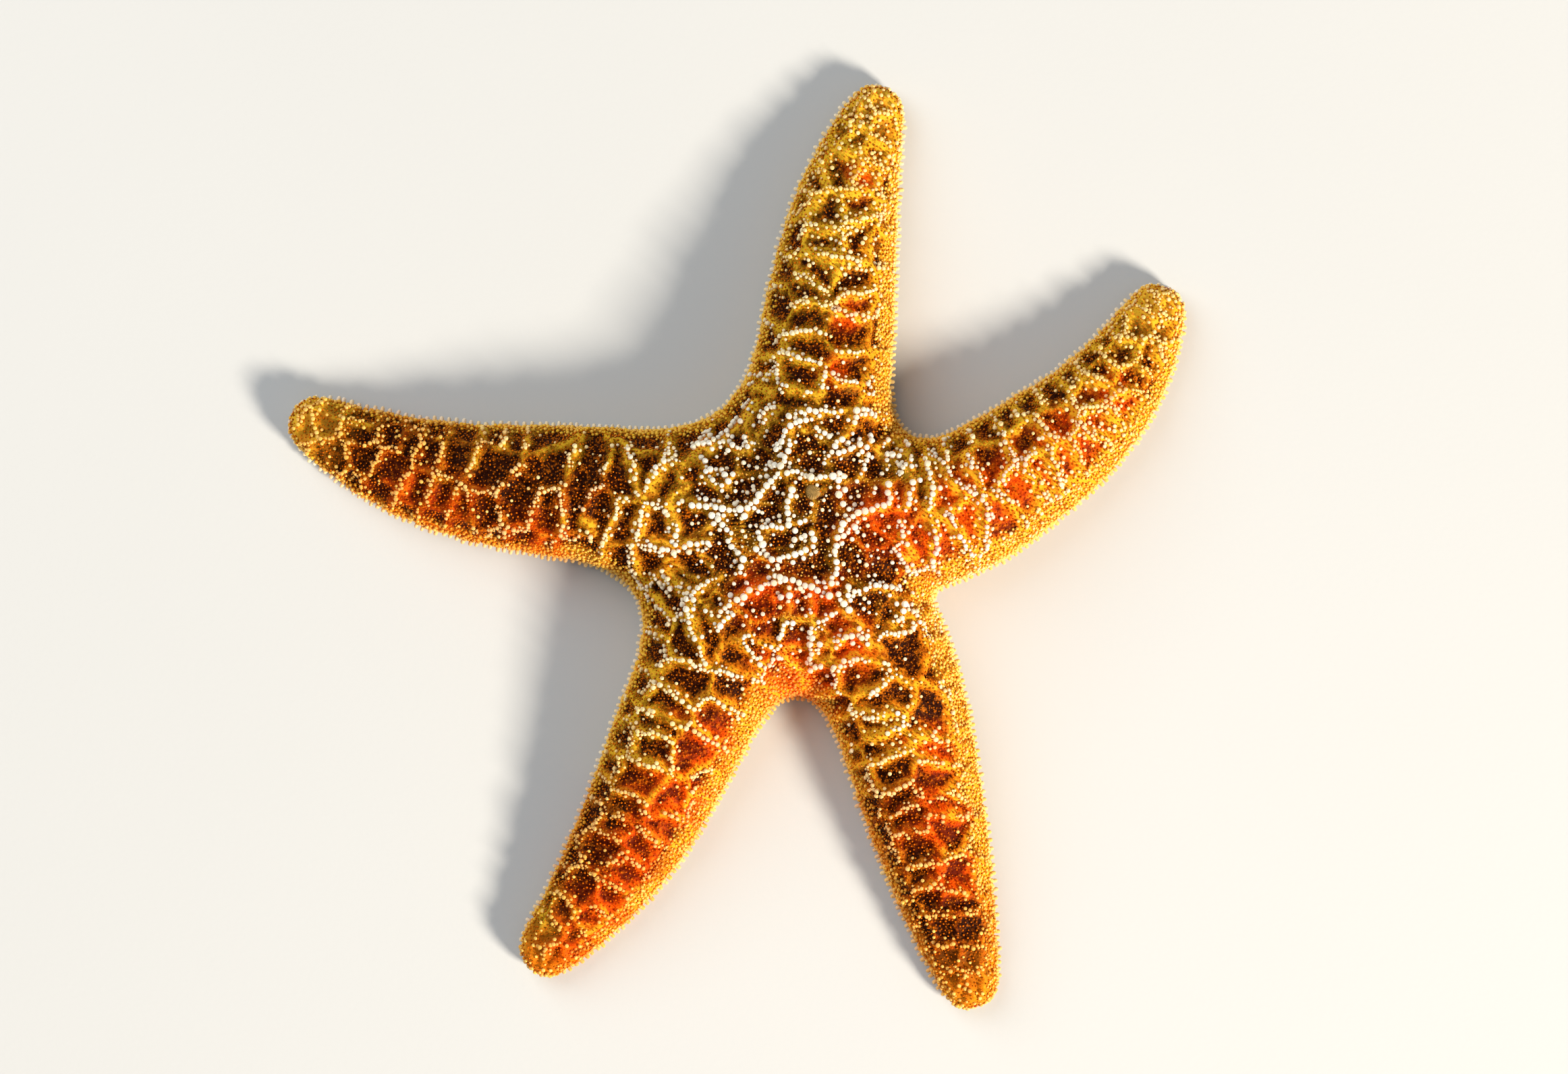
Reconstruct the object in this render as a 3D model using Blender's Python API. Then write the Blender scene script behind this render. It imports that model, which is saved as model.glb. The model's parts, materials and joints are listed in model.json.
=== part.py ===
"""Ochre sea star (Pisaster ochraceus), life size, lying flat with its mouth side down.

The body is one form: five tapering arms, each a row of cross-sections along a
bent centre line, joined at the disc by soft webs. It is modelled whole, parted
into a disc and five arms with thin cuts, and given its small organs: the sieve
plate (madreporite) on the disc, the lips of the mouth and the eyespot at the
tip of each arm. Metres, +Z up, soles of the arms at z = 0, origin under the
middle of the whole outline.
"""

import math

import bmesh
import bpy
import numpy as np

# Each arm: length from the middle of the disc, bearing where it leaves the middle,
# and its turn to the left over the inner half and over the outer half, in degrees.
ARMS = {
    "top": (0.097, 82.0, 1.0, -14.0),
    "right": (0.102, -5.0, 40.0, 32.0),
    "lower_right": (0.112, -53.0, -23.0, 1.0),
    "lower_left": (0.113, -126.0, 12.0, -18.0),
    "left": (0.114, 169.0, 6.0, -25.0),
}

# Softness of the web between each arm and the next one clockwise.
WEBS = {"top": 0.017, "right": 0.003, "lower_right": 0.018, "lower_left": 0.024, "left": 0.024}

ARM_HALF_WIDTH = 0.0157      # where the arm leaves the disc
ARM_TAPER = 0.56             # share of that width lost at the tip
ARM_TAPER_POWER = 2.9        # how late the taper comes
TIP_RADIUS = ARM_HALF_WIDTH * (1.0 - ARM_TAPER)
DISC_RADIUS = 0.021
DISC_BLEND = 0.0085

DISC_HEIGHT = 0.026
TIP_HEIGHT = 0.0095
HEIGHT_POWER = 1.5           # how late the back falls towards the tip
CROWN_POWER = 0.9            # below 1 squares the back's section, 1 is an ellipse
RIM_HEIGHT = 0.0036          # height of the widest line above the floor
RIM_TUCK = 0.0026            # how far the flank turns in below that line

GROOVE_HALF_WIDTH = 0.0024   # ambulacral groove under each arm
GROOVE_DEPTH = 0.0034
MOUTH_RADIUS = 0.0046
MOUTH_DEPTH = 0.0045
LIP_RING_RADIUS = 0.0020
LIP_THICKNESS = 0.0007
LIP_CENTRE_HEIGHT = 0.0018

SIEVE_PLACE = (0.0024, 0.0071)
SIEVE_RADIUS = 0.0016
SIEVE_HALF_HEIGHT = 0.0008
SIEVE_SUNK = 0.0004          # its centre below the back
EYESPOT_RADIUS = 0.0007
EYESPOT_INSET = 0.0006

CUT_GAP = 0.0003
CORNER_OVERHANG = 0.0010     # how far the cuts' corners stand outside the webs
CUTTER_HEIGHT = 0.08

BODY_ROWS = 18
TIP_ROWS = 4
CROWN_STEPS = 6
RIM_STEPS = 2
CENTRE_LINE_STEPS = 240
WIDTH_CIRCLES = 80
SEARCH_STEPS = 40
WELD = 1e-6
FLAT_EDGE_ANGLE = math.radians(40)


# ---------------------------------------------------------------- plan outline

def ease(x):
    """0 to 1 with a soft start and end."""
    x = np.clip(x, 0.0, 1.0)
    return x * x * (3.0 - 2.0 * x)


def bearing(arm, s):
    """Direction of the arm's centre line at distance s from the middle, in radians."""
    length, start, inner_turn, outer_turn = ARMS[arm]
    u = s / length
    return np.radians(start + inner_turn * ease(2.0 * u) + outer_turn * ease(2.0 * u - 1.0))


def centre_line(arm, s):
    """Plan position at distance s along the arm, summed from its bearing."""
    length = ARMS[arm][0]
    grid = np.linspace(0.0, length, CENTRE_LINE_STEPS + 1)
    step = grid[1]
    turn = bearing(arm, (grid[1:] + grid[:-1]) / 2.0)
    x = np.concatenate([[0.0], np.cumsum(np.cos(turn)) * step])
    y = np.concatenate([[0.0], np.cumsum(np.sin(turn)) * step])
    return np.interp(s, grid, x), np.interp(s, grid, y)


def half_width(arm, s):
    v = np.clip(s / (ARMS[arm][0] - TIP_RADIUS), 0.0, 1.0)
    return ARM_HALF_WIDTH * (1.0 - ARM_TAPER * v ** ARM_TAPER_POWER)


def soft_union(a, b, web):
    """Union of two distance fields with a web of the given softness."""
    near = np.clip(web - np.abs(a - b), 0.0, None) / web
    return np.minimum(a, b) - near * near * web / 4.0


def arm_distance(arm, x, y):
    """Distance outside the arm, a run of circles along its centre line."""
    s = np.linspace(0.0, ARMS[arm][0] - TIP_RADIUS, WIDTH_CIRCLES)
    cx, cy = centre_line(arm, s)
    return np.min(np.hypot(x[..., None] - cx, y[..., None] - cy) - half_width(arm, s), axis=-1)


def star_distance(x, y):
    """Distance outside the whole outline, below zero inside it."""
    names = list(ARMS)
    arms = {name: arm_distance(name, x, y) for name in names}
    pairs = [soft_union(arms[a], arms[b], WEBS[a]) for a, b in zip(names, names[1:] + names[:1])]
    return soft_union(np.min(pairs, axis=0), np.hypot(x, y) - DISC_RADIUS, DISC_BLEND)


def reach(x, y, angle):
    """Distance from a point inside the star to its outline in one direction."""
    run = np.zeros_like(x)
    for _ in range(SEARCH_STEPS):
        run = run - star_distance(x + run * np.cos(angle), y + run * np.sin(angle))
    return np.maximum(run, 0.0)


def web_bearing(arm):
    """Bearing of the web between the arm and the next one clockwise, in radians."""
    names = list(ARMS)
    after = names[(names.index(arm) + 1) % len(names)]
    here, there = ARMS[arm][1], ARMS[after][1]
    return math.radians(here - ((here - there) % 360.0) / 2.0)


# ---------------------------------------------------------------- body loft

def rows_along(arm):
    """Distances of the cross-sections, closer together round the tip."""
    straight = ARMS[arm][0] - TIP_RADIUS
    body = np.linspace(0.0, straight, BODY_ROWS + 1)
    tip = straight + TIP_RADIUS * np.sin(np.linspace(0.0, math.pi / 2, TIP_ROWS + 1)[1:])
    return np.concatenate([body, tip])


def fan(arm, side, s):
    """Direction across the arm: along the web at the middle, square to the arm further out."""
    names = list(ARMS)
    web = web_bearing(arm if side < 0 else names[names.index(arm) - 1])
    opening = abs((web - bearing(arm, 0.0) + math.pi) % (2.0 * math.pi) - math.pi)
    settled = 0.5 * ARMS[arm][0]
    swing = opening + (math.pi / 2 - opening) * np.clip(s / settled, 0.0, 1.0) ** 1.6
    return bearing(arm, s) + side * swing, np.sin(swing)


def back_height(arm, s):
    v = np.clip(s / (ARMS[arm][0] - TIP_RADIUS), 0.0, 1.0)
    return TIP_HEIGHT + (DISC_HEIGHT - TIP_HEIGHT) * (1.0 - v ** HEIGHT_POWER)


def groove_reach(s, swing_sine):
    """Distance across the arm to the groove's edge, or to the mouth's near the middle."""
    side_way = GROOVE_HALF_WIDTH / swing_sine
    cosine = np.sqrt(1.0 - swing_sine ** 2)
    inside = np.clip(MOUTH_RADIUS ** 2 - (s * swing_sine) ** 2, 0.0, None)
    mouth_way = np.sqrt(inside) - s * cosine
    return np.maximum(side_way, mouth_way)


def half_sections(arm, side):
    """Grid of points, one row for each cross-section, from the back round to the groove."""
    s = rows_along(arm)
    x, y = centre_line(arm, s)
    angle, swing_sine = fan(arm, side, s)
    width = reach(x, y, angle)
    width[-1] = 0.0
    past = np.clip((s - (ARMS[arm][0] - TIP_RADIUS)) / TIP_RADIUS, 0.0, 1.0)
    fullness = np.sqrt(1.0 - past ** 2)
    tuck = np.minimum(RIM_TUCK, 0.4 * width)
    sole = RIM_HEIGHT * (1.0 - fullness)

    columns = []
    for turn in np.linspace(0.0, math.pi / 2, CROWN_STEPS + 1):
        rise = (back_height(arm, s) - RIM_HEIGHT) * fullness
        columns.append((width * math.sin(turn) ** CROWN_POWER,
                        RIM_HEIGHT + rise * max(math.cos(turn), 0.0) ** CROWN_POWER))
    for turn in np.linspace(0.0, math.pi / 2, RIM_STEPS + 1)[1:]:
        columns.append((width - tuck * (1.0 - math.cos(turn)),
                        RIM_HEIGHT - RIM_HEIGHT * fullness * math.sin(turn)))

    edge = np.minimum(groove_reach(s, swing_sine), 0.45 * width)
    depth = GROOVE_DEPTH + (MOUTH_DEPTH - GROOVE_DEPTH) * ease(1.5 - s / MOUTH_RADIUS)
    columns.append(((width - tuck + edge) / 2.0, sole))
    columns.append((edge, sole))
    columns.append((0.75 * edge, sole + 0.8 * depth * fullness))
    columns.append((0.0 * edge, sole + depth * fullness))

    across = np.stack([c[0] for c in columns], axis=1)
    z = np.stack([c[1] for c in columns], axis=1)
    px = x[:, None] + across * np.cos(angle)[:, None]
    py = y[:, None] + across * np.sin(angle)[:, None]
    return np.stack([px, py, z], axis=2)


def add_grid(bm, grid):
    rows = [[bm.verts.new(point) for point in row] for row in grid]
    for lower, upper in zip(rows, rows[1:]):
        for i in range(len(lower) - 1):
            bm.faces.new((lower[i], lower[i + 1], upper[i + 1], upper[i]))


def build_body(collection):
    bm = bmesh.new()
    for arm in ARMS:
        for side in (-1, 1):
            add_grid(bm, half_sections(arm, side))
    bmesh.ops.remove_doubles(bm, verts=bm.verts, dist=WELD)
    bmesh.ops.recalc_face_normals(bm, faces=bm.faces)
    return new_object("body_form", bm, collection)


# ---------------------------------------------------------------- objects and cuts

def new_object(name, bm, collection):
    mesh = bpy.data.meshes.new(name)
    bm.to_mesh(mesh)
    bm.free()
    obj = bpy.data.objects.new(name, mesh)
    collection.objects.link(obj)
    return obj


def make_cutter(obj):
    obj.hide_render = True
    obj.display_type = "WIRE"
    return obj


def primitive(name, collection, make, centre, scale=(1.0, 1.0, 1.0), **sizes):
    """A bmesh primitive of the given sizes, scaled and moved in its mesh."""
    bm = bmesh.new()
    make(bm, **sizes)
    bmesh.ops.scale(bm, verts=bm.verts, vec=scale)
    bmesh.ops.translate(bm, verts=bm.verts, vec=centre)
    return new_object(name, bm, collection)


def notch(arm, outward):
    """Plan point of the web clockwise of the arm, moved outward."""
    angle = web_bearing(arm)
    start = np.zeros(1)
    run = reach(start, start, np.array([angle]))[0] + outward
    return run * math.cos(angle), run * math.sin(angle)


def disc_prism(name, grow, collection):
    """Five-sided prism with a corner just outside each web, its sides moved out by grow."""
    corners = [notch(arm, CORNER_OVERHANG + grow / math.cos(math.radians(54))) for arm in ARMS]
    bm = bmesh.new()
    base = bm.faces.new([bm.verts.new((x, y, -CUTTER_HEIGHT / 2)) for x, y in corners])
    wall = bmesh.ops.extrude_face_region(bm, geom=[base])["geom"]
    top = [item for item in wall if isinstance(item, bmesh.types.BMVert)]
    bmesh.ops.translate(bm, verts=top, vec=(0.0, 0.0, CUTTER_HEIGHT))
    bmesh.ops.recalc_face_normals(bm, faces=bm.faces)
    return make_cutter(new_object(name, bm, collection))


def cut(obj, cutter, operation):
    modifier = obj.modifiers.new(cutter.name, "BOOLEAN")
    modifier.operation = operation
    modifier.object = cutter
    modifier.solver = "EXACT"


def apply_modifiers(obj):
    graph = bpy.context.evaluated_depsgraph_get()
    obj.data = bpy.data.meshes.new_from_object(obj.evaluated_get(graph))
    obj.modifiers.clear()


def copy_object(obj, name, collection):
    twin = obj.copy()
    twin.data = obj.data.copy()
    twin.name = name
    collection.objects.link(twin)
    return twin


def split_arms(ring):
    """Separate the loose arms and name each one for the arm whose tip it holds."""
    bpy.context.view_layer.objects.active = ring
    ring.select_set(True)
    bpy.ops.object.mode_set(mode="EDIT")
    bpy.ops.mesh.select_all(action="SELECT")
    bpy.ops.mesh.separate(type="LOOSE")
    bpy.ops.object.mode_set(mode="OBJECT")
    pieces = list(bpy.context.selected_objects)
    arms = {}
    for arm in ARMS:
        tip = [float(v) for v in centre_line(arm, ARMS[arm][0])]
        piece = min(pieces, key=lambda p: min(math.dist(v.co[:2], tip) for v in p.data.vertices))
        piece.name = "arm_" + arm
        arms[arm] = piece
    return arms


# ---------------------------------------------------------------- small organs

def sphere(name, collection, centre, scale, segments=16):
    return primitive(name, collection, bmesh.ops.create_uvsphere, centre, scale,
                     u_segments=segments, v_segments=segments // 2, radius=1.0)


def build_sieve_plate(disc, parts, cutters):
    """A low round button in a pocket of the disc's back."""
    x, y = SIEVE_PLACE
    hit = disc.ray_cast((x, y, CUTTER_HEIGHT), (0.0, 0.0, -1.0))[1]
    z = hit.z - SIEVE_SUNK
    room = [SIEVE_RADIUS + CUT_GAP] * 2 + [SIEVE_HALF_HEIGHT + CUT_GAP]
    pocket = primitive("cut_sieve_pocket", cutters, bmesh.ops.create_cone,
                       (x, y, z - room[2] + CUTTER_HEIGHT / 2), cap_ends=True, segments=20,
                       radius1=room[0], radius2=room[0], depth=CUTTER_HEIGHT)
    cut(disc, make_cutter(pocket), "DIFFERENCE")
    return sphere("madreporite", parts, (x, y, z), (SIEVE_RADIUS, SIEVE_RADIUS, SIEVE_HALF_HEIGHT))


def build_mouth(parts):
    """The lips: a ring hanging in the pit where the five grooves meet."""
    bpy.ops.mesh.primitive_torus_add(major_radius=LIP_RING_RADIUS, minor_radius=LIP_THICKNESS,
                                     major_segments=20, minor_segments=8,
                                     location=(0.0, 0.0, LIP_CENTRE_HEIGHT))
    mouth = bpy.context.object
    mouth.name = "mouth"
    for owner in list(mouth.users_collection):
        owner.objects.unlink(mouth)
    parts.objects.link(mouth)
    return mouth


def build_eyespot(arm, arm_object, parts, cutters):
    """A bead set in a small pocket at the very tip of the arm."""
    x, y = (float(v) for v in centre_line(arm, ARMS[arm][0] - EYESPOT_INSET))
    centre = (x, y, RIM_HEIGHT)
    pocket = sphere("cut_eyespot_" + arm, cutters, centre, [EYESPOT_RADIUS + CUT_GAP] * 3, 12)
    cut(arm_object, make_cutter(pocket), "DIFFERENCE")
    return sphere("eyespot_" + arm, parts, centre, [EYESPOT_RADIUS] * 3, 10)


# ---------------------------------------------------------------- materials

def material(name, colour, roughness):
    mat = bpy.data.materials.new(name)
    mat.use_nodes = True
    shader = mat.node_tree.nodes["Principled BSDF"]
    shader.inputs["Base Color"].default_value = (*colour, 1.0)
    shader.inputs["Roughness"].default_value = roughness
    shader.inputs["Metallic"].default_value = 0.0
    return mat


def finish(obj, mat):
    obj.data.materials.clear()
    obj.data.materials.append(mat)
    obj.data.shade_smooth()
    obj.data.set_sharp_from_angle(angle=FLAT_EDGE_ANGLE)


def plan_centre():
    """Middle of the outline's box, from the reach of every arm's sides."""
    points = []
    for arm in ARMS:
        for side in (-1, 1):
            points.append(half_sections(arm, side)[:, :, :2].reshape(-1, 2))
    points = np.concatenate(points)
    return (points.min(axis=0) + points.max(axis=0)) / 2.0


def hang_on_empty(collections):
    """Carry every object on one empty that brings the plan's middle over the origin."""
    carrier = bpy.data.objects.new("sea_star_carrier", None)
    bpy.context.scene.collection.objects.link(carrier)
    for collection in collections:
        for obj in collection.objects:
            obj.parent = carrier
    x, y = plan_centre()
    carrier.location = (-x, -y, 0.0)


def main():
    for obj in list(bpy.data.objects):
        bpy.data.objects.remove(obj, do_unlink=True)
    parts = bpy.data.collections.new("sea_star")
    cutters = bpy.data.collections.new("cutters")
    for collection in (parts, cutters):
        bpy.context.scene.collection.children.link(collection)

    skin = material("skin", (0.42, 0.17, 0.03), 0.55)
    plate = material("sieve_plate", (0.45, 0.38, 0.20), 0.6)
    lips = material("lips", (0.55, 0.36, 0.20), 0.45)
    eye = material("eye_pigment", (0.50, 0.04, 0.02), 0.4)

    disc = build_body(parts)
    ring = copy_object(disc, "arm_ring", parts)
    disc.name = "disc"
    cut(disc, disc_prism("cut_disc_inner", -CUT_GAP / 2, cutters), "INTERSECT")
    cut(ring, disc_prism("cut_disc_outer", CUT_GAP / 2, cutters), "DIFFERENCE")
    apply_modifiers(disc)
    apply_modifiers(ring)
    finish(build_sieve_plate(disc, parts, cutters), plate)
    finish(disc, skin)
    finish(build_mouth(parts), lips)
    for arm, arm_object in split_arms(ring).items():
        finish(arm_object, skin)
        finish(build_eyespot(arm, arm_object, parts, cutters), eye)
    hang_on_empty((parts, cutters))


main()
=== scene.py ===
"""Looks of the ochre sea star: skin, net of spine heads, specks, fringe and tube feet.

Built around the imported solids, in metres, in the same frame. Run as a script; it is
laid out as an add-on, with one operator for each piece or group of like pieces.
"""

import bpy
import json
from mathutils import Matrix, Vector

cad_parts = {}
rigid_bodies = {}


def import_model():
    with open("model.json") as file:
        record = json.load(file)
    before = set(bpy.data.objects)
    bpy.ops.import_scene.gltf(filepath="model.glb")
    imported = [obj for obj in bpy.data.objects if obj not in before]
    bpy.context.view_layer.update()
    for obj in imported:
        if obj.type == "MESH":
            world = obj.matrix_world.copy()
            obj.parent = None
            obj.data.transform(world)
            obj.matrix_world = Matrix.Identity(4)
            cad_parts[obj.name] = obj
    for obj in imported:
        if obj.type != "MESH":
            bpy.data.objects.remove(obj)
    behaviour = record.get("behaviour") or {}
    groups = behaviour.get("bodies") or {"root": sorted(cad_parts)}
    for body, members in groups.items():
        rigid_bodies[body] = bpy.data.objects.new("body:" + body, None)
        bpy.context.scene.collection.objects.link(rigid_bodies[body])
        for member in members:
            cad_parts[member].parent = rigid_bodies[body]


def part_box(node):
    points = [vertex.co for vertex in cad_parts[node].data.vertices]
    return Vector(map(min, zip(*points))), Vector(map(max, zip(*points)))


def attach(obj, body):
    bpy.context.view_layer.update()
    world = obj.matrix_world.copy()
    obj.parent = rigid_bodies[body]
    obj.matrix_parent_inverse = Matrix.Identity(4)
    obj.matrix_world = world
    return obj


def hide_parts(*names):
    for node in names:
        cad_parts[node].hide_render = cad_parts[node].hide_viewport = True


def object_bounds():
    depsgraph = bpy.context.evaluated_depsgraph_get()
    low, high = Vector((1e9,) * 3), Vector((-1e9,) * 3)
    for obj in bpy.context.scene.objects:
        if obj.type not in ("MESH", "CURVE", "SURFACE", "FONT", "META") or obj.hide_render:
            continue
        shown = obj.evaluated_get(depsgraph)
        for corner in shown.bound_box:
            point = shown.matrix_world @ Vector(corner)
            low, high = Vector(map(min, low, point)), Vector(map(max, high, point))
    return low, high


bl_info = {
    "name": "Ochre Sea Star",
    "version": (1, 0, 0),
    "blender": (4, 5, 0),
    "location": "3D View > Sidebar > Sea Star",
    "description": "Builds the skin, spines, tube feet and small organs of an ochre sea star",
    "category": "Object",
}

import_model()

import json
import math
from functools import lru_cache

import bpy
import numpy as np
from bpy.props import FloatProperty, FloatVectorProperty, PointerProperty
from mathutils import Vector
from mathutils.bvhtree import BVHTree
from mathutils.kdtree import KDTree

CAD_LOW, CAD_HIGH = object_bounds()
MOUTH_LOW, MOUTH_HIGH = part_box("mouth")
MIDDLE = np.array([(MOUTH_LOW[i] + MOUTH_HIGH[i]) / 2.0 for i in (0, 1)])  # of the disc, in plan
MM = 0.001
BODY = "root"

# ---- plan form, the same named values as the solids -------------------------

# Each arm: length, bearing at the middle, left turn over the inner and the outer half.
ARMS = {
    "top": (0.097, 82.0, 1.0, -14.0),
    "right": (0.102, -5.0, 40.0, 32.0),
    "lower_right": (0.112, -53.0, -23.0, 1.0),
    "lower_left": (0.113, -126.0, 12.0, -18.0),
    "left": (0.114, 169.0, 6.0, -25.0),
}
ARM_NAMES = list(ARMS)
SKIN_NODES = ["disc"] + ["arm_" + name for name in ARM_NAMES]
WEBS = {"top": 0.017, "right": 0.003, "lower_right": 0.018, "lower_left": 0.024, "left": 0.024}
ARM_HALF_WIDTH = 0.0157
ARM_TAPER = 0.56
ARM_TAPER_POWER = 2.9
TIP_RADIUS = ARM_HALF_WIDTH * (1.0 - ARM_TAPER)
DISC_RADIUS = 0.021
DISC_BLEND = 0.0085
DISC_HEIGHT = float(CAD_HIGH[2])
TIP_HEIGHT = 0.0095
HEIGHT_POWER = 1.5
CROWN_POWER = 0.9
RIM_HEIGHT = 0.0036
RIM_TUCK = 0.0026
MOST_TUCK = 0.4                # of the width
GROOVE_HALF_WIDTH = 0.0024
MOST_GROOVE = 0.45             # of the width
GROOVE_DEPTH = 0.0034
MOUTH_RADIUS = 0.0046
MOUTH_DEPTH = 0.0045
MOUTH_EASE = 1.5               # mouth radii out to which its depth eases into the groove's
FAN_SHARE = 0.5                # of an arm's length over which sections turn square to it
FAN_POWER = 1.6

CENTRE_LINE_STEPS = 240
WIDTH_CIRCLES = 90
SEARCH_STEPS = 36

# ---- fine surface -----------------------------------------------------------

BODY_ROWS = 118
TIP_ROWS = 10
CROWN_COLUMNS = 46
RIM_COLUMNS = 8
SOLE_COLUMNS = 10
GROOVE_COLUMNS = 8
BAND_EDGES = (0, 1, 2, 3, 4)   # crown, rim, sole and groove bands of the section
WELD = 1e-6
MAP_MARGIN = 0.004             # of the unwrap at the middle and at the tips
MAP_HALF = 0.49                # of an arm's strip of the unwrap that each half takes
PATCH = 0.003                  # width of one spine's patch on the OFBake map
MOST_TRIANGLES = 195000        # in one piece
TURN = 2.0 * math.pi
QUARTER = math.pi / 2          # of a turn

# Seeds of the fixed random draws and waves.
SEED = {
    "lumps": 3, "mark_edge": 5, "ripe": 7, "gold": 9, "net": 11, "wander_x": 13, "wander_y": 14,
    "gaps": 17, "beads": 21, "net_spines": 31, "lone_spines": 41, "pit_seats": 43, "tip_seats": 44,
    "specks": 51, "speck_seats": 52, "flank_spines": 61, "flank_seats": 62, "fringe": 71,
    "sole_spines": 81, "sole_seats": 82, "tube_feet": 91,
}


def draws(name):
    """The fixed random draws of one piece or wave."""
    return np.random.default_rng(SEED[name])


def unit(vectors):
    """Each vector over its own length."""
    return vectors / np.linalg.norm(vectors, axis=1)[:, None]


def around(turn):
    """Plan directions at the given turns: their cosines and sines."""
    return np.stack([np.cos(turn), np.sin(turn)], axis=1)


def corners_of(points, triangles):
    """The three corners of each triangle."""
    return [points[triangles[:, i]] for i in range(3)]


def double_area(a, b, c):
    """Twice the area of each triangle: the length of the cross product of two sides."""
    return np.linalg.norm(np.cross(b - a, c - a), axis=1)


def ease(x):
    """0 to 1 with a soft start and end: three times x squared less twice x cubed."""
    x = np.clip(x, 0.0, 1.0)
    return x * x * (3.0 - 2.0 * x)


def between(x, low, high):
    """The eased share of the way from low to high: 0 below low and 1 above high."""
    return ease((x - low) / (high - low))


def bearing(arm, s):
    """Direction of the arm's centre line at distance s from the middle, in radians.

    It is the start bearing, plus the inner turn eased over the inner half of the length
    and the outer turn eased over the outer half.
    """
    length, start, inner_turn, outer_turn = ARMS[arm]
    u = s / length
    return np.radians(start + inner_turn * ease(2.0 * u) + outer_turn * ease(2.0 * u - 1.0))


def centre_line(arm, s):
    """Plan position at distance s: the sum of short steps, each in the bearing at its middle."""
    length = ARMS[arm][0]
    grid = np.linspace(0.0, length, CENTRE_LINE_STEPS + 1)
    step = grid[1]
    turn = bearing(arm, (grid[1:] + grid[:-1]) / 2.0)
    x = np.concatenate([[0.0], np.cumsum(np.cos(turn)) * step])
    y = np.concatenate([[0.0], np.cumsum(np.sin(turn)) * step])
    return np.interp(s, grid, x), np.interp(s, grid, y)


def straight_share(arm, s):
    """Share of the way from the middle to the start of the round tip, from 0 to 1."""
    return np.clip(s / (ARMS[arm][0] - TIP_RADIUS), 0.0, 1.0)


def half_width(arm, s):
    """The full half width less the taper times a power of the share of the way out."""
    return ARM_HALF_WIDTH * (1.0 - ARM_TAPER * straight_share(arm, s) ** ARM_TAPER_POWER)


def back_height(arm, s):
    """Height of the mid line: from the disc's to the tip's by a power of the way out."""
    fall = straight_share(arm, s) ** HEIGHT_POWER
    return TIP_HEIGHT + (DISC_HEIGHT - TIP_HEIGHT) * (1.0 - fall)


def soft_union(a, b, web):
    """Union of two distance fields with a web of the given softness.

    It is the smaller of the two, less a quarter of the web times the square of how near
    to equal they are.
    """
    near = np.clip(web - np.abs(a - b), 0.0, None) / web
    return np.minimum(a, b) - near * near * web / 4.0


def arm_distance(arm, x, y):
    """Distance outside the arm: the least, over circles on its centre line, past each."""
    s = np.linspace(0.0, ARMS[arm][0] - TIP_RADIUS, WIDTH_CIRCLES)
    cx, cy = centre_line(arm, s)
    return np.min(np.hypot(x[..., None] - cx, y[..., None] - cy) - half_width(arm, s), axis=-1)


def star_distance(x, y):
    """Distance outside the outline: soft unions of neighbour arms, then with the disc's circle."""
    arms = {name: arm_distance(name, x, y) for name in ARM_NAMES}
    pairs = [soft_union(arms[a], arms[b], WEBS[a])
             for a, b in zip(ARM_NAMES, ARM_NAMES[1:] + ARM_NAMES[:1])]
    return soft_union(np.min(pairs, axis=0), np.hypot(x, y) - DISC_RADIUS, DISC_BLEND)


def reach(x, y, angle):
    """Distance from a point inside the star to its outline in one direction.

    Each step goes on by the distance still inside the outline, until little is left.
    """
    run = np.zeros_like(x)
    for _ in range(SEARCH_STEPS):
        run = run - star_distance(x + run * np.cos(angle), y + run * np.sin(angle))
    return np.maximum(run, 0.0)


def web_bearing(arm):
    """Bearing half way between the arm's and the next one's clockwise, in radians."""
    after = ARM_NAMES[(ARM_NAMES.index(arm) + 1) % len(ARM_NAMES)]
    here, there = ARMS[arm][1], ARMS[after][1]
    return math.radians(here - ((here - there) % 360.0) / 2.0)


def fan(arm, side, s):
    """Direction across the arm and the sine of its angle to the arm.

    The angle opens, by a power of the way out, from the web's direction at the middle to
    a right angle further out.
    """
    web = web_bearing(arm if side < 0 else ARM_NAMES[ARM_NAMES.index(arm) - 1])
    opening = abs((web - bearing(arm, 0.0) + math.pi) % TURN - math.pi)
    opened = np.clip(s / (FAN_SHARE * ARMS[arm][0]), 0.0, 1.0) ** FAN_POWER
    swing = opening + (QUARTER - opening) * opened
    return bearing(arm, s) + side * swing, np.sin(swing)


def groove_reach(s, swing_sine):
    """Distance across the arm to the groove's edge, or to the mouth's circle near the middle.

    The larger of the groove's half width over the sine, and the chord from the mid line
    to the circle.
    """
    inside = np.clip(MOUTH_RADIUS ** 2 - (s * swing_sine) ** 2, 0.0, None)
    mouth_way = np.sqrt(inside) - s * np.sqrt(1.0 - swing_sine ** 2)
    return np.maximum(GROOVE_HALF_WIDTH / swing_sine, mouth_way)


def section_columns():
    """Band coordinate of each column: 0 to 1 crown, to 2 rim, to 3 sole, to 4 groove."""
    counts = (CROWN_COLUMNS, RIM_COLUMNS, SOLE_COLUMNS, GROOVE_COLUMNS)
    bands = [start + np.arange(n) / n for start, n in zip(BAND_EDGES, counts)]
    return np.concatenate(bands + [[float(BAND_EDGES[-1])]])


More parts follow.
